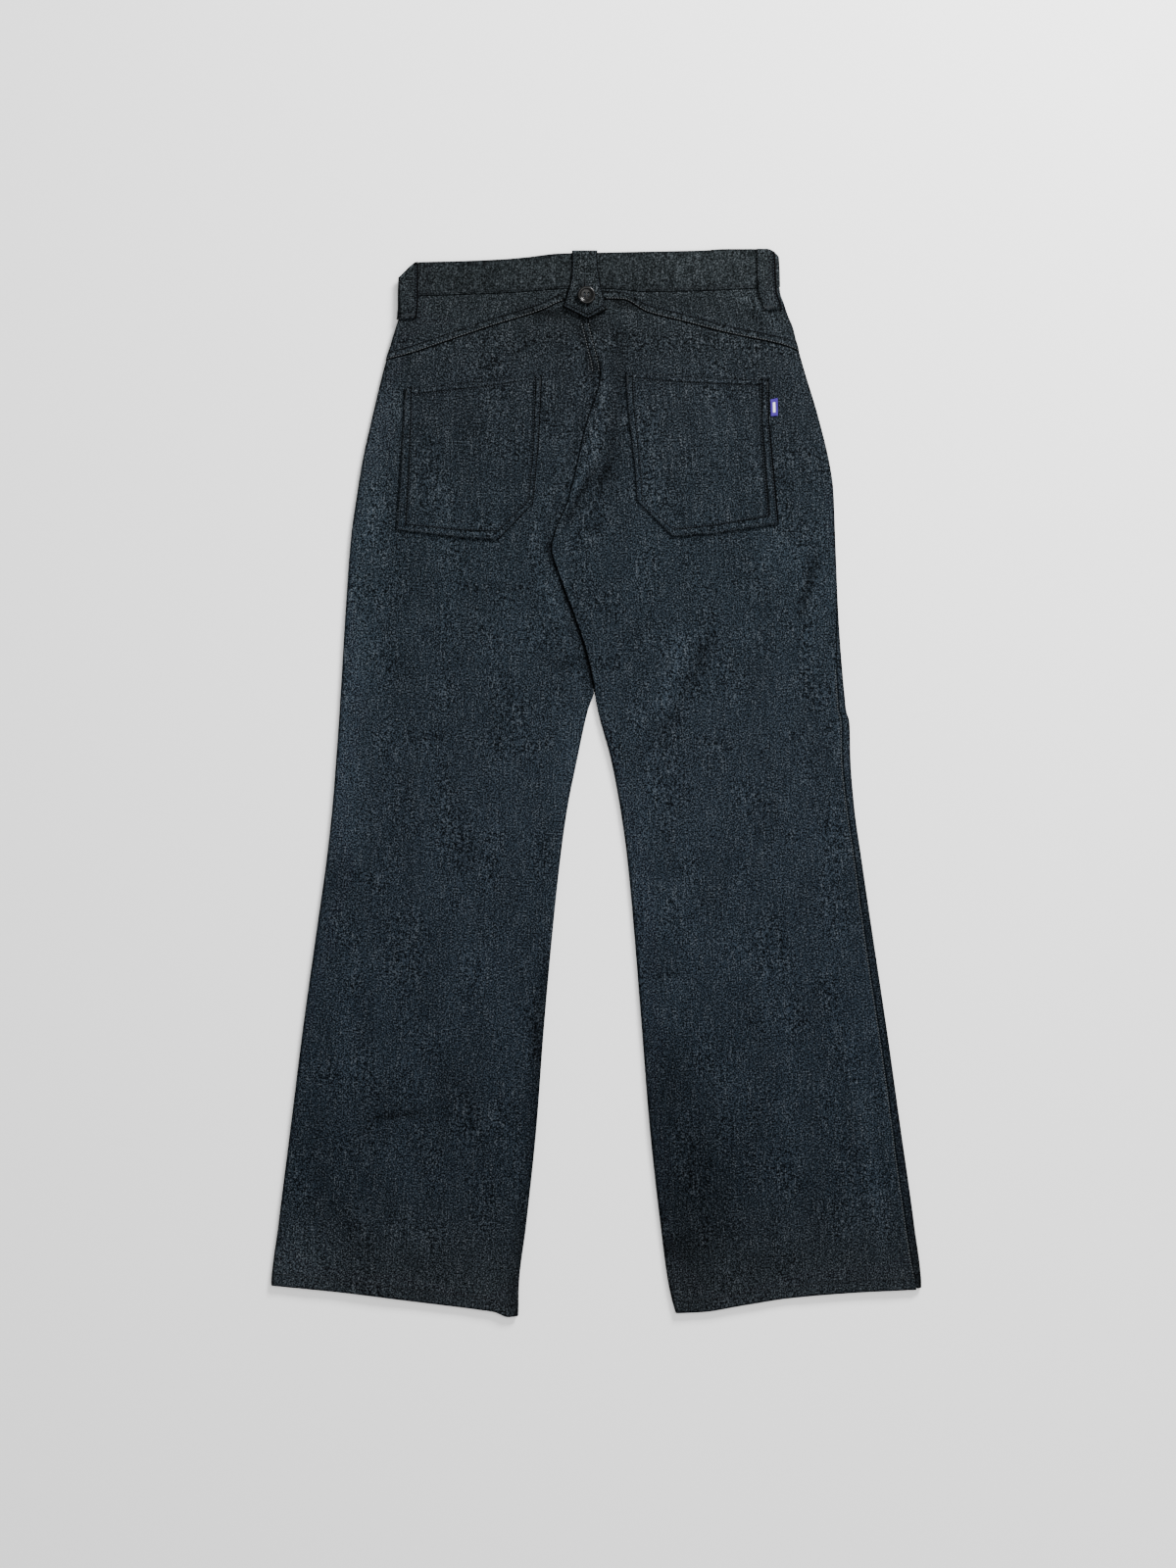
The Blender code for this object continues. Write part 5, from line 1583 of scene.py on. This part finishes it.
class Finishes(bpy.types.PropertyGroup):
    """Colours of the cloth, the thread and the trims."""

    fleck: colour("Fleck", "Pale weft showing through the denim", (0.080, 0.088, 0.096))
    fleck_share: FloatProperty(
        name="Flecks", description="How much a fleck hides the warp", default=0.55, max=1.0)
    thread_tonal: colour("Thread", "Topstitching that lies deep in the cloth", (0.0125, 0.0150, 0.0175))
    # A lighter copy of the thread, painted highlight for rows that stand proud.
    thread_bright: colour("Bright thread", "Topstitching that stands proud", (0.060, 0.066, 0.070))
    # A somewhat lighter copy of the thread, partly painted highlight.
    thread_pocket: colour("Pocket thread", "Topstitching of pockets, tab and loops", (0.017, 0.022, 0.028))
    horn_dark: colour("Horn", "Dark of the horn", (0.0022, 0.0023, 0.0024))
    horn_pale: colour("Horn streaks", "Pale streaks of the horn", (0.0070, 0.0068, 0.0062))
    metal: colour("Metal", "Waist button", (0.36, 0.33, 0.29))
    label_ground: colour("Label", "Ground of the side label", (0.024, 0.004, 0.17))
    label_bar: colour("Label bar", "Bar down the side label", (0.78, 0.78, 0.84))


class StageSizes(bpy.types.PropertyGroup):
    """The camera, the floor and the lights."""

    field: length("Field", "Length seen along the garment", 1.6)
    camera_height: length("Camera", "Height above the cloth", 3.2)
    floor_size: length("Floor", "Side of the floor", 14.0)
    floor_colour: colour("Floor colour", "Pale floor", (0.93, 0.93, 0.93))
    key_power: FloatProperty(name="Key", description="Light from beyond the waist", default=190.0, min=0.0)
    top_power: FloatProperty(name="Top", description="Light from above", default=60.0, min=0.0)
    sky: FloatProperty(name="Sky", description="Brightness of the surroundings", default=0.5, min=0.0)


class JeansStage(bpy.types.Operator):
    """The pale floor, the soft lights and the camera straight above."""

    bl_idname = "jeans.stage"
    bl_label = "Stage"

    def execute(self, context):
        sizes = context.scene.jeans_stage
        bm = bmesh.new()
        bmesh.ops.create_grid(bm, x_segments=1, y_segments=1, size=sizes.floor_size / 2)
        bmesh.ops.translate(bm, verts=bm.verts, vec=(0, 0, -FLOOR_DROP))
        finish("floor", bm, floor_finish())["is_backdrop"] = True
        data = bpy.data.cameras.new("camera")
        data.sensor_width = 36.0
        data.lens = data.sensor_width * sizes.camera_height / sizes.field
        data.clip_end = 60.0
        camera = bpy.data.objects.new("camera", data)
        camera.location = (*PHOTO_MIDDLE, CLOTH_PLANE + sizes.camera_height)
        context.scene.collection.objects.link(camera)
        context.scene.camera = camera
        self.light(context, "key", (1.2, 2.1, 1.3), 0.8, sizes.key_power)
        self.light(context, "top", (0.5, -0.2, 2.6), 2.2, sizes.top_power)
        sky = bpy.data.worlds.new("sky")
        sky.use_nodes = True
        sky.node_tree.nodes["Background"].inputs["Color"].default_value = (1, 1, 1, 1)
        sky.node_tree.nodes["Background"].inputs["Strength"].default_value = sizes.sky
        context.scene.world = sky
        return {"FINISHED"}

    @staticmethod
    def light(context, name, at, size, power):
        data = bpy.data.lights.new(name, "AREA")
        data.size = size
        data.energy = power
        lamp = bpy.data.objects.new(name, data)
        lamp.location = at
        lamp.rotation_euler = (Vector((0, 0, 0)) - Vector(at)).to_track_quat("-Z", "Y").to_euler()
        context.scene.collection.objects.link(lamp)


class JeansLegs(bpy.types.Operator):
    """The back and front leg panels, with their turned-up hems and creases."""

    bl_idname = "jeans.legs"
    bl_label = "Leg panels"

    def execute(self, context):
        for half, lean in LEG_LEANS:
            leg = cloth_finish(f"denim_leg_{half}", turn=lean, contrast=1.12)
            for side in ("front", "back"):
                piece = leg_panel(f"{side}_leg_{half}_cloth", half, side == "back", leg)
                sewn(piece, f"{side}_leg_{half}")
        return {"FINISHED"}


class JeansYokes(bpy.types.Operator):
    """The two halves of the pointed yoke."""

    bl_idname = "jeans.yokes"
    bl_label = "Yokes"

    def execute(self, context):
        for half in ("left", "right"):
            lean = YOKE_LEAN if half == "left" else -YOKE_LEAN
            cloth = cloth_finish(f"denim_yoke_{half}", turn=lean, lightness=1.05)
            sewn(yoke(f"yoke_{half}_cloth", half, cloth), f"yoke_{half}")
        return {"FINISHED"}


class JeansWaistband(bpy.types.Operator):
    """The waistband, one strip all round."""

    bl_idname = "jeans.waistband"
    bl_label = "Waistband"

    def execute(self, context):
        sewn(waistband(cloth_finish("denim_band", turn=0.1, contrast=0.75)), "waistband")
        return {"FINISHED"}


class JeansPockets(bpy.types.Operator):
    """The two back patch pockets."""

    bl_idname = "jeans.pockets"
    bl_label = "Back pockets"

    def execute(self, context):
        for half, lean in (("left", 0.04), ("right", -0.05)):
            cloth = cloth_finish(f"denim_pocket_{half}", turn=lean, lightness=0.98, contrast=1.12)
            sewn(pocket(half, cloth), f"back_pocket_{half}")
        return {"FINISHED"}


class JeansTab(bpy.types.Operator):
    """The buttoned tab at the centre of the waist."""

    bl_idname = "jeans.tab"
    bl_label = "Back tab"

    def execute(self, context):
        sewn(back_tab(cloth_finish("denim_tab", lightness=0.97)), "back_tab")
        return {"FINISHED"}


class JeansLoops(bpy.types.Operator):
    """The belt loops: one at each side, one on each front half."""

    bl_idname = "jeans.loops"
    bl_label = "Belt loops"

    def execute(self, context):
        cloth = cloth_finish("denim_loop", lightness=1.03)
        for half in SIDE_LOOPS:
            sewn(side_loop(half, cloth), f"belt_loop_{half}")
        for half, middle in FRONT_LOOPS:
            sewn(front_loop(half, middle, cloth), f"belt_loop_front_{half}")
        return {"FINISHED"}


class JeansFly(bpy.types.Operator):
    """The strip behind the front opening."""

    bl_idname = "jeans.fly"
    bl_label = "Fly strip"

    def execute(self, context):
        sewn(fly_strip(cloth_finish("denim_fly")), "fly_strip")
        return {"FINISHED"}


class JeansTrims(bpy.types.Operator):
    """The horn button, the waist button and the side label."""

    bl_idname = "jeans.trims"
    bl_label = "Buttons and label"

    def execute(self, context):
        trimmed(back_button(horn_finish()), "back_button")
        trimmed(front_button(metal_finish()), "front_button")
        sewn(side_label(label_finish()), "side_label")
        return {"FINISHED"}


def loop_paths(half):
    """The rows along a side loop's edges, as far as they show from above."""
    edge = f"{half}_outer"
    first, width, length = SIDE_LOOPS[half]
    paths = []
    for off in (width - LOOP_STITCH,) if half == "left" else (LOOP_STITCH, width - LOOP_STITCH):
        top = float(band_top(edge, np.array(first + off)))
        levels = np.linspace(top + 3, top + length - 7, 20)
        paths.append(path_of(at_edge(edge, first + off + 0 * levels, levels, out=2.4)[0], levels))
    return paths


def stitched_pieces():
    """Each piece of stitches: its name, its thread, and the cloths it goes through with their paths.

    The paths lie above, on the garment's back, unless the cloth's third value says otherwise.
    """
    halves = ("left", "right")
    for name, kind, off, runs in YOKE_THREADS:
        rows = {half: rows_along(yoke_seam, [run], SEAM_GAP / 2 + off, 70) for half, run in zip(halves, runs)}
        yield f"yoke_{name}_topstitching", kind, [(f"yoke_{half}", rows[half], True) for half in halves]
    above_band = SEAM_GAP / 2 + BAND_STITCH
    band_rows = rows_along(waist_seam, BACK_BAND_RUNS, above_band)
    yield "waistband_topstitching", "tonal", [("waistband", band_rows, True)]
    for half, outline in POCKETS.items():
        paths = pocket_paths(outline, half)
        yield f"pocket_{half}_topstitching", "pocket", [(f"back_pocket_{half}", paths, True)]
    loops = [(f"belt_loop_{half}", loop_paths(half), True) for half in halves]
    yield "tab_and_loop_topstitching", "pocket", [("back_tab", tab_paths(), True), *loops]
    # The seat and outseam rows take the thread with painted highlight.
    yield "seat_and_outseam_stitching", "bright", [
        ("back_leg_left", back_seat_paths(), True), ("back_leg_right", [outseam_path()], True)]
    hems = []
    for half, run in HEM_RUNS.items():
        for side, short in (("back", 0), ("front", FRONT_HEM_SHORT)):
            paths = rows_along(HEM[half], [run], short + HEM_TURN + HEM_STITCH, 70)
            hems.append((f"{side}_leg_{half}", paths, side == "back"))
    yield "hem_stitching", "tonal", hems
    yield "front_topstitching", "tonal", [
        ("waistband", rows_along(front_seam, FRONT_BAND_RUNS, above_band), False),
        ("front_leg_left", [*fly_paths(), *pocket_mouth_paths(-1)], False),
        ("front_leg_right", pocket_mouth_paths(1), False),
        *((f"belt_loop_front_{half}", front_loop_paths(middle), False) for half, middle in FRONT_LOOPS)]


class JeansStitches(bpy.types.Operator):
    """The topstitching, the bar tacks, the buttonhole and the button's threads."""

    bl_idname = "jeans.stitches"
    bl_label = "Stitches"

    def execute(self, context):
        radius = cloth_sizes().thread_radius
        form, fine = stitch_form(radius), stitch_form(radius * 0.8)
        yarns = {kind: thread(kind) for kind in ("tonal", "bright", "pocket")}
        for name, kind, cloths in stitched_pieces():
            bm = bmesh.new()
            for cloth, paths, above in cloths:
                trees = surface_trees(f"{cloth}_cloth")
                for path in paths:
                    stitch_row(bm, form, trees, path, above)
            threads(name, bm, yarns[kind])
        bm = bmesh.new()
        for cloth, start, end, width in BAR_TACKS:
            tack_row(bm, fine, surface_trees(cloth), start, end, width)
        for half, middle in FRONT_LOOPS:
            level = float(front_waist(middle)) + 55.5
            trees = surface_trees(f"belt_loop_front_{half}_cloth")
            tack_row(bm, fine, trees, (middle - 6.6, level), (middle + 6.6, level), 2.6, above=False)
        fly_foot = (-9, FLY_BOTTOM - 4), (-19, FLY_BOTTOM - 6)
        tack_row(bm, fine, surface_trees("front_leg_left_cloth"), *fly_foot, 2.6, above=False)
        threads("bar_tacks", bm, yarns["tonal"])
        bm = bmesh.new()
        buttonhole(bm, fine, surface_trees("back_tab_cloth"))
        button_threads(bm, fine)
        threads("buttonhole_and_button_threads", bm, yarns["tonal"])
        for made in (form, fine):
            bpy.data.meshes.remove(made)
        return {"FINISHED"}


class JeansPanel(bpy.types.Panel):
    """Lists the jeans' pieces, their sizes and their colours."""

    bl_idname = "VIEW3D_PT_jeans"
    bl_label = "Laid jeans"
    bl_space_type = "VIEW_3D"
    bl_region_type = "UI"
    bl_category = "Jeans"

    def draw(self, context):
        for group in (context.scene.jeans_cloth, context.scene.jeans_finishes, context.scene.jeans_stage):
            box = self.layout.box()
            for name in group.bl_rna.properties.keys():
                if name not in ("rna_type", "name"):
                    box.prop(group, name)
        for operator in OPERATORS:
            self.layout.operator(operator.bl_idname)


OPERATORS = (
    JeansStage, JeansLegs, JeansYokes, JeansWaistband, JeansPockets,
    JeansTab, JeansLoops, JeansFly, JeansTrims, JeansStitches,
)
CLASSES = (ClothSizes, Finishes, StageSizes, *OPERATORS, JeansPanel)


def register():
    for each in CLASSES:
        bpy.utils.register_class(each)
    bpy.types.Scene.jeans_cloth = PointerProperty(type=ClothSizes)
    bpy.types.Scene.jeans_finishes = PointerProperty(type=Finishes)
    bpy.types.Scene.jeans_stage = PointerProperty(type=StageSizes)


def unregister():
    for name in ("jeans_cloth", "jeans_finishes", "jeans_stage"):
        delattr(bpy.types.Scene, name)
    for each in reversed(CLASSES):
        bpy.utils.unregister_class(each)


def main():
    """Makes the stage and every piece."""
    register()
    for operator in OPERATORS:
        getattr(bpy.ops.jeans, operator.bl_idname.split(".")[1])()
    size_file()


if __name__ == "__main__":
    main()
